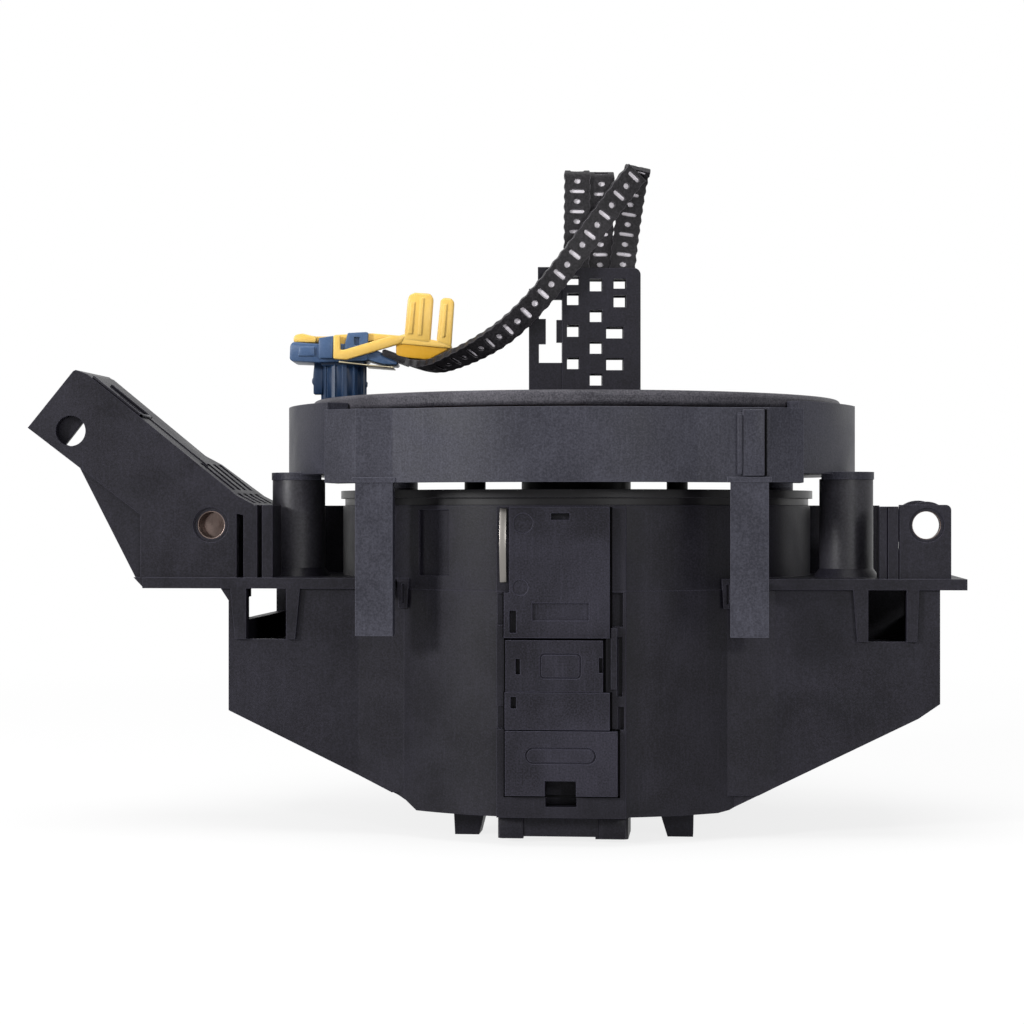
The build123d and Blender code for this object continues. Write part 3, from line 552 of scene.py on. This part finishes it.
def bent_along(piece, curve, line, lead, widen, pitch):
    """Repeats a unit along a curve and closes its two ends."""
    total = line_length(line)
    count = max(1, round(total / (lead.pitch * pitch)))
    take(piece)
    piece.rotation_euler = (math.pi / 2, 0, 0)
    bpy.ops.object.transform_apply(rotation=True)
    piece.scale = (total / (count * lead.pitch), 1, widen)
    bpy.ops.object.transform_apply(scale=True)
    array = piece.modifiers.new("repeat", "ARRAY")
    array.count = count
    array.use_merge_vertices = True
    array.merge_threshold = 2e-5
    bend = piece.modifiers.new("bend", "CURVE")
    bend.object = curve
    bend.deform_axis = "POS_X"
    finish_modifiers(piece, array.name, bend.name)
    bpy.ops.object.mode_set(mode="EDIT")
    bpy.ops.mesh.select_mode(type="EDGE")
    bpy.ops.mesh.select_all(action="DESELECT")
    bpy.ops.mesh.select_non_manifold(extend=False, use_multi_face=False, use_non_contiguous=False,
                                     use_verts=False)
    bpy.ops.mesh.edge_face_add()
    bpy.ops.mesh.select_mode(type="VERT")
    bpy.ops.object.mode_set(mode="OBJECT")
    return piece


class OBJECT_OT_spring_lead(bpy.types.Operator):
    """Makes the free ladder lead to the plug"""

    bl_idname = "object.spring_lead"
    bl_label = "Ladder lead"

    def execute(self, context):
        lead = context.scene.spring_lead
        points = [turned(p) for p in LEAD_ROUTE]
        piece, line = sheathed_lead(route_curve("lead_route", points, LEAD_ROLL, "Z_UP"), lead)
        settle(piece, "ladder_lead", "rotor")
        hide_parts("lead_cord")
        return {"FINISHED"}


class OBJECT_OT_spring_folds(bpy.types.Operator):
    """Makes the folded columns of lead above the tower"""

    bl_idname = "object.spring_folds"
    bl_label = "Folded lead"

    def execute(self, context):
        lead = context.scene.spring_lead
        made = []
        for route in FOLDS:
            points = [turned(p) for p in route]
            curve = route_curve("fold_route", points, [0] * len(points), "MINIMUM")
            made.append(sheathed_lead(curve, lead, FOLD_WIDEN, FOLD_PITCH)[0])
        piece = joined(made)
        settle(piece, "folded_leads", "rotor")
        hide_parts("lead_stack")
        return {"FINISHED"}


def moulding(outline, y0, y1, edge_mm):
    """A disc whose corners are moved to an X-Z outline in mm, extruded from one depth to another."""
    clear_selection()
    bpy.ops.mesh.primitive_circle_add(vertices=len(outline), radius=MM, fill_type="NGON")
    piece = bpy.context.object
    bpy.ops.object.mode_set(mode="EDIT")
    for k, (x, z) in enumerate(outline):
        pick(piece, lambda v: v.index == k)
        move = Vector((x, y0, z)) * MM - piece.data.vertices[k].co
        bpy.ops.transform.translate(value=move)
    bpy.ops.mesh.select_all(action="SELECT")
    bpy.ops.mesh.extrude_region_move(TRANSFORM_OT_translate={"value": (0, (y1 - y0) * MM, 0)})
    bpy.ops.mesh.select_all(action="SELECT")
    bpy.ops.mesh.normals_make_consistent(inside=False)
    bpy.ops.object.mode_set(mode="OBJECT")
    if edge_mm:
        soften(piece, edge_mm)
    return piece


def block(x0, x1, y0, y1, z0, z1, edge_mm=0.3):
    """A moulding with four sides."""
    return moulding([(x0, z0), (x1, z0), (x1, z1), (x0, z1)], y0, y1, edge_mm)


def assemble(parts, name, finish, body, slot, *nodes):
    """Joins the parts, turns those of the rotor and the lock to the rest angle, and settles the piece."""
    for part in parts:
        if not part.data.materials:
            part.data.materials.append(MATERIALS[finish])
    piece = joined(parts)
    if body != "housing":
        piece.rotation_euler = (0, 0, ROTOR_REST)
    settle(piece, name, body)
    if nodes:
        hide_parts(*nodes)


# The plug in the rotor's frame, in mm: its middle depth, and the barrel's place, radius and height.
PLUG_Y = -1.0
LOCK_FRONT = PLUG_Y - 7.5
BARREL_X = -45.9
BARREL_R = 4.15
BARREL_Z = (76.5, 84.5)
BARREL_SIDES = 60

# The plug's two contact pins, in mm: how far behind the middle depth they stand, radius and length.
PIN_DEPTHS = (-1.25, 1.25)
PIN_R = 0.9
PIN_LONG = 5.5


def plug_shell():
    """The plug's blue shell: base, two guide posts, the second with a window, and the lead's hood."""
    front = PLUG_Y - 6.0
    base = moulding([(-56.1, 84.6), (-55.6, 84.2), (-50.4, 84.0), (-41.0, 84.3), (-40.2, 87.4),
                     (-47.0, 87.7), (-50.0, 87.6), (-55.4, 88.0), (-56.0, 87.4)],
                    front, PLUG_Y + 6.0, 0.35)
    post = moulding([(-50.3, 84.7), (-47.6, 84.7), (-47.4, 89.1), (-50.3, 88.7)],
                    PLUG_Y - 7.4, PLUG_Y - 4.0, 0.25)
    tab = moulding([(-45.6, 86.4), (-40.8, 86.4), (-40.7, 89.7), (-41.0, 89.9), (-44.7, 89.7)],
                   PLUG_Y - 6.6, PLUG_Y - 4.0, 0.2)
    window = block(-43.5, -42.4, PLUG_Y - 9, PLUG_Y - 5.8, 87.3, 88.9, 0)
    cut(tab, window)
    hood = moulding([(-41.2, 84.6), (-38.0, 83.7), (-35.2, 83.5), (-35.0, 84.1), (-37.4, 85.6),
                     (-40.4, 87.0), (-41.2, 87.0)], front + 0.4, PLUG_Y + 5.0, 0.3)
    ledge = moulding([(-54.4, 85.2), (-51.2, 85.2), (-51.2, 87.0), (-54.0, 87.0)],
                     front - 0.5, front + 0.3, 0.15)
    assemble([base, post, tab, hood, ledge], "plug_shell", "pbt_blue", "rotor", "blue_plug", "squib_body")


def plug_barrel():
    """The barrel: a round body with ribs raised all round, a key at the left and a latch at the right."""
    low, high = BARREL_Z
    barrel = cylinder(BARREL_SIDES, BARREL_R, high - low, (BARREL_X, PLUG_Y, (low + high) / 2))
    bpy.ops.object.mode_set(mode="EDIT")

    def raised(face):
        """Two side faces out of every five."""
        if abs(face.normal.z) > 0.5:
            return False
        turn = math.atan2(face.center.y - PLUG_Y * MM, face.center.x - BARREL_X * MM) % (2 * math.pi)
        return int(turn / (2 * math.pi) * BARREL_SIDES) % 5 in (0, 1)

    pick(barrel, raised, "FACE")
    bpy.ops.mesh.extrude_region_shrink_fatten(TRANSFORM_OT_shrink_fatten={"value": 0.35 * MM})
    bpy.ops.object.mode_set(mode="OBJECT")
    soften(barrel, 0.08, 1)
    key = moulding([(-51.8, 78.0), (-50.0, 78.0), (-49.4, 84.4), (-51.6, 84.4), (-51.9, 81.2), (-52.1, 80.9),
                    (-52.1, 80.2), (-51.8, 79.8)], PLUG_Y - 1.6, PLUG_Y + 1.6, 0.2)
    latch = moulding([(-41.9, 79.2), (-41.3, 79.5), (-41.2, 80.4), (-41.9, 80.9)],
                     PLUG_Y - 1.0, PLUG_Y + 1.0, 0.15)
    collar = block(-50.0, -41.6, PLUG_Y - 4.2, PLUG_Y + 4.2, 83.4, 84.6, 0.3)
    assemble([barrel, key, latch, collar], "plug_barrel", "pbt_blue_dark", "rotor", "blue_plug",
             "squib_barrel")


def plug_sheet():
    """The plug's two contact pins and the thin folded sheet under the lead's hood."""
    parts = []
    for dy in PIN_DEPTHS:
        pin = cylinder(20, PIN_R, PIN_LONG, (BARREL_X, PLUG_Y + dy, 80.6))
        soften(pin, 0.3)
        parts.append(pin)
    parts.append(moulding([(-46.4, 84.2), (-40.8, 83.5), (-40.8, 83.3), (-46.4, 83.9)],
                          PLUG_Y - 7.2, PLUG_Y - 3.0, 0.05))
    parts.append(moulding([(-41.2, 83.6), (-35.8, 83.1), (-35.8, 82.9), (-41.2, 83.3)],
                          PLUG_Y - 6.6, PLUG_Y + 3.0, 0.05))
    assemble(parts, "plug_sheet", "brass_tin", "rotor", "spring_steel", "squib_contacts")


def lead_boot():
    """The moulded end of the ladder lead, lying on the hood under the lock's wedge."""
    boot = moulding([(-38.0, 85.3), (-37.4, 85.0), (-33.0, 83.4), (-32.9, 84.9), (-37.4, 86.5),
                     (-38.0, 86.4)], PLUG_Y - 6.8, PLUG_Y + 1.5, 0.3)
    assemble([boot], "lead_boot", "pvc_lead", "rotor", "lead_black")


def lock_tab(outline, ribs):
    """One upright tab of the lock with raised ribs on its face, each from x to x and z to z, with a lean."""
    parts = [moulding(outline, LOCK_FRONT, PLUG_Y - 5.6, 0.45)]
    for x0, x1, z0, z1, lean in ribs:
        parts.append(moulding([(x0, z0), (x1, z0), (x1 + lean, z1), (x0 + lean, z1)], LOCK_FRONT - 0.28,
                              LOCK_FRONT + 0.3, 0.12))
    return parts


def plug_lock():
    """The yellow lock: cap, inner plate, slanted front bar, rear plate with its wedge, and two tabs."""
    cap = moulding([(-55.4, 88.0), (-51.0, 87.9), (-50.9, 89.1), (-52.0, 89.3), (-53.6, 89.7), (-54.9, 89.5),
                    (-55.4, 89.0)], PLUG_Y - 5.2, PLUG_Y + 5.2, 0.3)
    link = block(-52.5, -47.0, PLUG_Y - 4.2, PLUG_Y + 3.7, 87.95, 89.2, 0.2)
    plate = moulding([(-47.3, 85.2), (-46.2, 85.2), (-45.2, 86.0), (-43.0, 88.0), (-36.0, 88.4),
                      (-34.6, 88.6), (-35.2, 89.3), (-40.0, 89.7), (-47.3, 89.4)],
                     PLUG_Y - 5.6, PLUG_Y - 4.4, 0.15)
    deck = block(-47.5, -34.2, PLUG_Y - 4.5, PLUG_Y + 3.7, 88.1, 89.2, 0.2)
    bar = moulding([(-47.5, 84.6), (-44.9, 84.4), (-34.2, 87.6), (-33.4, 89.1), (-35.8, 89.2), (-45.3, 86.4),
                    (-46.1, 86.3), (-46.1, 89.2), (-47.5, 89.2)], LOCK_FRONT, LOCK_FRONT + 1.4, 0.35)
    rear = moulding([(-35.4, 88.9), (-35.4, 87.6), (-24.6, 86.6), (-24.4, 87.4), (-27.0, 88.1),
                     (-33.8, 89.4)], LOCK_FRONT + 0.2, PLUG_Y + 5.5, 0.3)
    wedge = moulding([(-35.3, 87.9), (-35.3, 85.3), (-34.8, 85.0), (-29.6, 84.5), (-28.6, 84.6),
                      (-24.8, 86.7)], LOCK_FRONT + 0.7, PLUG_Y + 5.0, 0.3)
    # The wedge takes the deeper yellow: painted shade.
    wedge.data.materials.append(MATERIALS["pbt_yellow_shaded"])
    tall = lock_tab([(-33.7, 88.4), (-28.6, 87.8), (-27.95, 96.4), (-28.6, 97.3), (-31.6, 97.5),
                     (-32.7, 97.0), (-33.0, 96.0)],
                    ((-32.9, -32.1, 89.4, 95.6, 0.55), (-31.0, -30.3, 89.2, 96.4, 0.5)))
    short = lock_tab([(-27.4, 88.0), (-24.5, 86.9), (-23.9, 95.7), (-24.5, 96.4), (-26.1, 96.5),
                      (-26.6, 95.9)], ((-26.4, -25.8, 88.8, 95.2, 0.5),))
    assemble([cap, link, plate, deck, bar, rear, wedge, *tall, *short], "plug_lock", "pbt_yellow", "lock",
             "yellow_lock", "squib_lock")


class OBJECT_OT_spring_plug(bpy.types.Operator):
    """Makes the airbag plug: blue shell, ribbed barrel, metal sheet and the yellow lock"""

    bl_idname = "object.spring_plug"
    bl_label = "Airbag plug"

    def execute(self, context):
        plug_shell()
        plug_barrel()
        plug_sheet()
        plug_lock()
        lead_boot()
        return {"FINISHED"}


def mount(name):
    """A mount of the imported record."""
    return next(m for m in frame["record"]["mounts"] if m["name"] == name)


# The two fixing holes, from the record, in mm: x of both, the plane that they start in, their height,
# and the radius of what stands in them, a hair over the hole's own.
FIXINGS = mount("side_fixings")
HOLE_X = [FIXINGS["pos_m"][0] / MM + side * FIXINGS["dims"]["spacing_x_mm"] / 2 for side in (-1, 1)]
FRONT_Y = FIXINGS["pos_m"][1] / MM
HOLE_Z = FIXINGS["pos_m"][2] / MM
HOLE_R = FIXINGS["dims"]["hole_r_mm"] + 0.01
HOLE_SIDES = 48

# The left hole's threaded insert, in mm: turns of thread, a millimetre each, and their inner radius.
THREAD_TURNS = 6
THREAD_R = 2.42

# The insert's closed end, in mm: its depth behind the front, radius, thickness and rim.
END_DEEP = 6.9
END_R = 2.6
END_THICK = 0.8
END_RIM = 0.5

# The two posts' skins, in mm: place, radius, lowest and highest point of the straight part.
POST_X = 51.99
POST_Y = -20.0
POST_R = 5.02
POST_Z = (43.0, 61.0)

# The black strips of painted shade in the joints beside the covers on the front pad: x from, x to, z from, z
# to, and their depth, in mm.
COVER_JOINTS = (
    (-10.25, -9.75, 22.5, 32.2), (7.55, 8.05, 22.5, 32.2), (-10.35, -9.9, 15.7, 22.6),
    (8.75, 9.2, 15.7, 22.6), (-10.3, -9.85, 3.7, 15.9), (10.15, 10.6, 3.7, 15.9),
    (-10.3, 10.6, 3.7, 4.15), (-10.25, 8.05, 31.8, 32.35), (-10.3, 10.6, 15.65, 16.0),
    (8.75, 9.2, 32.3, 55.7), (-10.5, -10.05, 32.3, 40.4), (-9.5, -9.15, 40.4, 55.7),
)
JOINT_Y = (-46.26, -46.05)

# The guide on the case above its right leg, in mm: its thin edge, its face, and the joint beside it, a black
# strip of painted shade.
GUIDE_EDGE = (31.4, 32.3, -48.4, -47.3, 61.4, 72.2)
GUIDE_FACE = (32.3, 36.25, -48.0, -47.3, 61.2, 73.0)
GUIDE_JOINT = (36.25, 36.65, -47.6, -47.3, 61.2, 73.0)

# The gusset behind the hole in the arm's tip, in mm: its X-Z outline and its depth.
ARM_GUSSET = ((-94.9, 66.9), (-90.6, 72.3), (-90.6, 78.5), (-92.2, 78.6), (-99.4, 70.9))
GUSSET_Y = (-31.8, -30.4)

# The arm's sloped top in the front plane, from its tip down: x and z of both ends, in mm.
ARM_SLOPE = ((-89.6, 80.6), (-61.3, 57.9))

# Ridges on that slope: from, to, the two depths and the height, in mm.
ARM_RIDGES = ((1.0, 13.0, -33.4, -32.8, 0.5), (3.0, 13.0, -26.0, -25.4, 0.5),
              (12.4, 13.0, -33.4, -25.4, 0.5), (12.8, 27.5, -27.4, -27.0, 0.22))

# The two ribs on the harness socket, in mm: x from and to, and the rest of the box.
SOCKET_RIBS = ((-11.6, -7.1), (6.5, 11.5))
SOCKET_RIB_BOX = (-41.45, -40.7, -4.4, -0.1)

# How many straight runs the bowed earth leaf has.
LEAF_STEPS = 14


def slope_rib(start, end, y0, y1, high):
    """A rib on the arm's sloped top, from one distance down the slope to another, in mm."""
    (x0, z0), (x1, z1) = ARM_SLOPE
    long = math.hypot(x1 - x0, z1 - z0)
    dx = (x1 - x0) / long
    dz = (z1 - z0) / long
    outline = [(x0 + dx * along - dz * up, z0 + dz * along + dx * up)
               for along, up in ((start, -0.1), (end, -0.1), (end, high), (start, high))]
    return moulding(outline, y0, y1, 0.05)


def ring_tube(x, z, y0, y1, outer, inner):
    """A short tube along Y: a cylinder whose ends are inset and bridged to one another."""
    tube = cylinder(HOLE_SIDES, outer, y1 - y0, (x, (y0 + y1) / 2, z), math.pi / 2)
    bpy.ops.object.mode_set(mode="EDIT")
    pick(tube, lambda f: abs(f.normal.y) > 0.99, "FACE")
    bpy.ops.mesh.inset(thickness=(outer - inner) * MM, use_individual=True)
    bpy.ops.mesh.bridge_edge_loops()
    bpy.ops.object.mode_set(mode="OBJECT")
    soften(tube, 0.08, 2)
    return tube


def insert_end():
    """The closed end of the threaded insert in the left fixing hole, with a shallow drill point."""
    end = cylinder(HOLE_SIDES, END_R, END_THICK, (HOLE_X[0], FRONT_Y + END_DEEP, HOLE_Z), math.pi / 2)
    bpy.ops.object.mode_set(mode="EDIT")
    pick(end, lambda f: f.normal.y < -0.99, "FACE")
    bpy.ops.mesh.inset(thickness=END_RIM * MM)
    bpy.ops.mesh.inset(thickness=1.7 * MM, depth=-0.5 * MM)
    bpy.ops.object.mode_set(mode="OBJECT")
    soften(end, 0.06, 1)
    return end


def post_sleeve(side):
    """The smooth skin of one post, slightly wider at its foot."""
    low, high = POST_Z
    post = cylinder(72, POST_R, high - low, (side * POST_X, POST_Y, (low + high) / 2))
    bpy.ops.object.mode_set(mode="EDIT")
    pick(post, lambda f: f.normal.z < -0.99, "FACE")
    bpy.ops.mesh.extrude_region_move(TRANSFORM_OT_translate={"value": (0, 0, -0.4 * MM)})
    bpy.ops.transform.resize(value=(1.04, 1.04, 1), center_override=(side * POST_X * MM, POST_Y * MM, 0))
    bpy.ops.object.mode_set(mode="OBJECT")
    soften(post, 0.15)
    return post


class OBJECT_OT_spring_holes(bpy.types.Operator):
    """Makes the threaded insert and the bush in the two fixing holes"""

    bl_idname = "object.spring_holes"
    bl_label = "Fixing holes"

    def execute(self, context):
        left, right = HOLE_X
        parts = [ring_tube(right, HOLE_Z, FRONT_Y + 0.8, FRONT_Y + 2.4, HOLE_R, 2.5), insert_end()]
        for turn in range(THREAD_TURNS):
            start = FRONT_Y + 0.7 + turn
            parts.append(ring_tube(left, HOLE_Z, start, start + 1, HOLE_R, THREAD_R))
        assemble(parts, "fixing_bushes", "bush_metal", "housing", "spring_steel")
        return {"FINISHED"}


class OBJECT_OT_spring_posts(bpy.types.Operator):
    """Makes the rubbed skins of the two posts, in a lighter copy of the frame's nylon that paints light on
    them
    """

    bl_idname = "object.spring_posts"
    bl_label = "Post skins"

    def execute(self, context):
        sleeves = [post_sleeve(side) for side in (-1, 1)]
        # The skins' lighter nylon is painted light on the posts.
        assemble(sleeves, "post_sleeves", "nylon_post_lit", "housing", "black_housing")
        return {"FINISHED"}


class OBJECT_OT_spring_joints(bpy.types.Operator):
    """Makes black strips of painted shade in the joints round the covers and beside the guide on the case"""

    bl_idname = "object.spring_joints"
    bl_label = "Joints"

    def execute(self, context):
        parts = [block(x0, x1, *JOINT_Y, z0, z1, 0.04) for x0, x1, z0, z1 in COVER_JOINTS]
        parts.append(block(*GUIDE_JOINT, 0.04))
        # The strips take the near black joint material: painted shade.
        assemble(parts, "cover_joint_shades", "joint_shadow", "housing", "black_housing")
        return {"FINISHED"}


class OBJECT_OT_spring_ribs(bpy.types.Operator):
    """Makes the case's guide, the arm's gusset and ridges, and the ribs on the harness socket"""

    bl_idname = "object.spring_ribs"
    bl_label = "Guide, gusset and ribs"

    def execute(self, context):
        guide = [block(*GUIDE_EDGE), block(*GUIDE_FACE, 0.25)]
        assemble(guide, "case_guide", "pbt_case", "housing", "grey_case")
        gusset = moulding(ARM_GUSSET, *GUSSET_Y, 0.15)
        assemble([gusset], "arm_gusset", "nylon_housing", "housing", "black_housing")
        ridges = [slope_rib(*ridge) for ridge in ARM_RIDGES]
        assemble(ridges, "arm_ridges", "nylon_housing", "housing", "black_housing")
        ribs = [block(x0, x1, *SOCKET_RIB_BOX, 0.4) for x0, x1 in SOCKET_RIBS]
        assemble(ribs, "socket_ribs", "nylon_housing", "housing", "black_housing")
        return {"FINISHED"}


class OBJECT_OT_spring_leaf(bpy.types.Operator):
    """Makes the bowed earth leaf beside the upper cover"""

    bl_idname = "object.spring_leaf"
    bl_label = "Earth leaf"

    def execute(self, context):
        low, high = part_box("earth_spring")
        x0, y0, z0 = (v / MM for v in low)
        x1, y1, z1 = (v / MM for v in high)
        bow = y0 - y1 + 0.4
        front = [((y1 - 0.4) + bow * math.sin(math.pi * k / LEAF_STEPS), z0 + (z1 - z0) * k / LEAF_STEPS)
                 for k in range(LEAF_STEPS + 1)]
        back = [(y + 0.3, z) for y, z in reversed(front)]
        # The bow is drawn in the X-Z plane, so the leaf is turned to lie across the pad.
        leaf = moulding(front + back, x0 + 0.25, x1 - 0.15, 0.05)
        leaf.rotation_euler = (0, 0, math.pi / 2)
        leaf.scale = (1, -1, 1)
        bpy.ops.object.transform_apply(location=True, rotation=True, scale=True)
        bpy.ops.object.mode_set(mode="EDIT")
        bpy.ops.mesh.select_all(action="SELECT")
        bpy.ops.mesh.normals_make_consistent(inside=False)
        bpy.ops.object.mode_set(mode="OBJECT")
        assemble([leaf], "earth_leaf", "leaf_metal", "housing", "spring_steel", "earth_spring")
        return {"FINISHED"}


# Lamps: name, place and side in metres, and power as a share of the key.
LAMPS = (
    ("lamp_top", (0.0, -0.15, 0.8), 0.6, 1.5),
    ("lamp_left", (-0.72, -0.72, 0.3), 0.14, 2.5),
    ("lamp_right", (0.42, -0.95, 0.28), 0.1, 0.8),
)

# The floor's own glow is this strong beside the object, and full from the far distance on, in metres.
GLOW_NEAR = 0.82
GLOW_REACH = (0.12, 0.45)


class OBJECT_OT_spring_stage(bpy.types.Operator):
    """Adds the floor, the camera and the lamps"""

    bl_idname = "object.spring_stage"
    bl_label = "Stage"

    def execute(self, context):
        stage = context.scene.spring_stage
        clear_selection()
        low = cad_box[0][2]
        bpy.ops.mesh.primitive_plane_add(size=6.0, location=(0, 0, low))
        floor = context.object
        floor.name = "floor"
        floor.data.materials.append(self.paper())
        self.add_camera(context, stage)
        self.add_lamps(context, stage)
        self.add_world(context, stage)
        context.scene.view_settings.view_transform = "Standard"
        clear_selection()
        return {"FINISHED"}

    def paper(self):
        """Seamless white paper: it keeps the object's shadow and is plain white further off."""
        white = bpy.data.materials.new("seamless_paper_white")
        tree = empty_tree(white)
        paper = add(tree, "ShaderNodeBsdfDiffuse", {"Color": (*linear("#f6f6f6"), 1)})
        glow = add(tree, "ShaderNodeEmission", {"Color": (1, 1, 1, 1), "Strength": 1.0})
        place = add(tree, "ShaderNodeTexCoord").outputs["Object"]
        away = add(tree, "ShaderNodeVectorMath", {"operation": "LENGTH"}, {0: place})
        near, far = GLOW_REACH
        share = add(tree, "ShaderNodeMapRange", {"From Min": near, "From Max": far, "To Min": GLOW_NEAR},
                    {"Value": away.outputs["Value"]})
        glowing = add(tree, "ShaderNodeMath", {"operation": "MULTIPLY"},
                      {0: self.seen(tree), 1: share.outputs[0]})
        mix = add(tree, "ShaderNodeMixShader", links={0: glowing.outputs[0], 1: paper.outputs[0],
                                                      2: glow.outputs[0]})
        add(tree, "ShaderNodeOutputMaterial", links={"Surface": mix.outputs[0]})
        return white

    def seen(self, tree):
        """Whether the camera sees the surface, straight or in a reflection or through glass."""
        path = add(tree, "ShaderNodeLightPath").outputs
        both = add(tree, "ShaderNodeMath", {"operation": "MAXIMUM"},
                   {0: path["Is Camera Ray"], 1: path["Is Glossy Ray"]})
        every = add(tree, "ShaderNodeMath", {"operation": "MAXIMUM"},
                    {0: both.outputs[0], 1: path["Is Transmission Ray"]})
        return every.outputs[0]

    def add_camera(self, context, stage):
        """The photo's camera: level, near the height of the drum's top, turned with the part's yaw."""
        c = math.cos(ROTOR_REST)
        s = math.sin(ROTOR_REST)
        x = stage.side * c + stage.distance * s
        y = stage.side * s - stage.distance * c
        data = bpy.data.cameras.new("photo_camera")
        data.lens = stage.lens
        data.sensor_width = 36
        data.clip_start = 0.01
        camera = bpy.data.objects.new("photo_camera", data)
        camera.location = (x, y, stage.eye)
        camera.rotation_euler = (math.pi / 2, 0, ROTOR_REST)
        context.scene.collection.objects.link(camera)
        context.scene.camera = camera

    def add_lamps(self, context, stage):
        """One large soft lamp above, and two smaller ones at the left and right front."""
        for name, place, size, power in LAMPS:
            data = bpy.data.lights.new(name, "AREA")
            data.energy = power * stage.key
            data.size = size
            lamp = bpy.data.objects.new(name, data)
            lamp.location = place
            aim = Vector((0, 0, 0.05)) - Vector(place)
            lamp.rotation_euler = aim.to_track_quat("-Z", "Y").to_euler()
            context.scene.collection.objects.link(lamp)

    def add_world(self, context, stage):
        """White to the camera and to reflections, softer as a light."""
        world = bpy.data.worlds.new("studio_white")
        context.scene.world = world
        tree = empty_tree(world)
        level = add(tree, "ShaderNodeMapRange", {"To Min": stage.sky, "To Max": 1.0},
                    {"Value": self.seen(tree)})
        sky = add(tree, "ShaderNodeBackground", {"Color": (1, 1, 1, 1)}, {"Strength": level.outputs[0]})
        add(tree, "ShaderNodeOutputWorld", links={"Surface": sky.outputs[0]})


class VIEW3D_PT_spring(bpy.types.Panel):
    """The clock spring's sizes, colours and pieces."""

    bl_label = "Clock Spring"
    bl_space_type = "VIEW_3D"
    bl_region_type = "UI"
    bl_category = "Clock Spring"

    def draw(self, context):
        scene = context.scene
        for group in (scene.spring_lead, scene.spring_finish, scene.spring_stage):
            box = self.layout.box()
            for key in group.bl_rna.properties.keys():
                if key not in {"rna_type", "name"}:
                    box.prop(group, key)
        for step in STEPS:
            self.layout.operator(step)


CLASSES = (
    LeadSettings, FinishSettings, StageSettings, OBJECT_OT_spring_finishes, OBJECT_OT_spring_plug,
    OBJECT_OT_spring_lead, OBJECT_OT_spring_folds, OBJECT_OT_spring_holes, OBJECT_OT_spring_posts,
    OBJECT_OT_spring_joints, OBJECT_OT_spring_ribs, OBJECT_OT_spring_leaf, OBJECT_OT_spring_stage,
    VIEW3D_PT_spring,
)
STEPS = ("object.spring_finishes", "object.spring_plug", "object.spring_lead", "object.spring_folds",
         "object.spring_holes", "object.spring_posts", "object.spring_joints", "object.spring_ribs",
         "object.spring_leaf", "object.spring_stage")


def register():
    for cls in CLASSES:
        bpy.utils.register_class(cls)
    bpy.types.Scene.spring_lead = bpy.props.PointerProperty(type=LeadSettings)
    bpy.types.Scene.spring_finish = bpy.props.PointerProperty(type=FinishSettings)
    bpy.types.Scene.spring_stage = bpy.props.PointerProperty(type=StageSettings)


def unregister():
    del bpy.types.Scene.spring_stage
    del bpy.types.Scene.spring_finish
    del bpy.types.Scene.spring_lead
    for cls in reversed(CLASSES):
        bpy.utils.unregister_class(cls)


def main():
    register()
    bpy.ops.object.spring_finishes()
    bpy.ops.object.spring_plug()
    bpy.ops.object.spring_lead()
    bpy.ops.object.spring_folds()
    bpy.ops.object.spring_holes()
    bpy.ops.object.spring_posts()
    bpy.ops.object.spring_joints()
    bpy.ops.object.spring_ribs()
    bpy.ops.object.spring_leaf()
    bpy.ops.object.spring_stage()


if __name__ == "__main__":
    main()
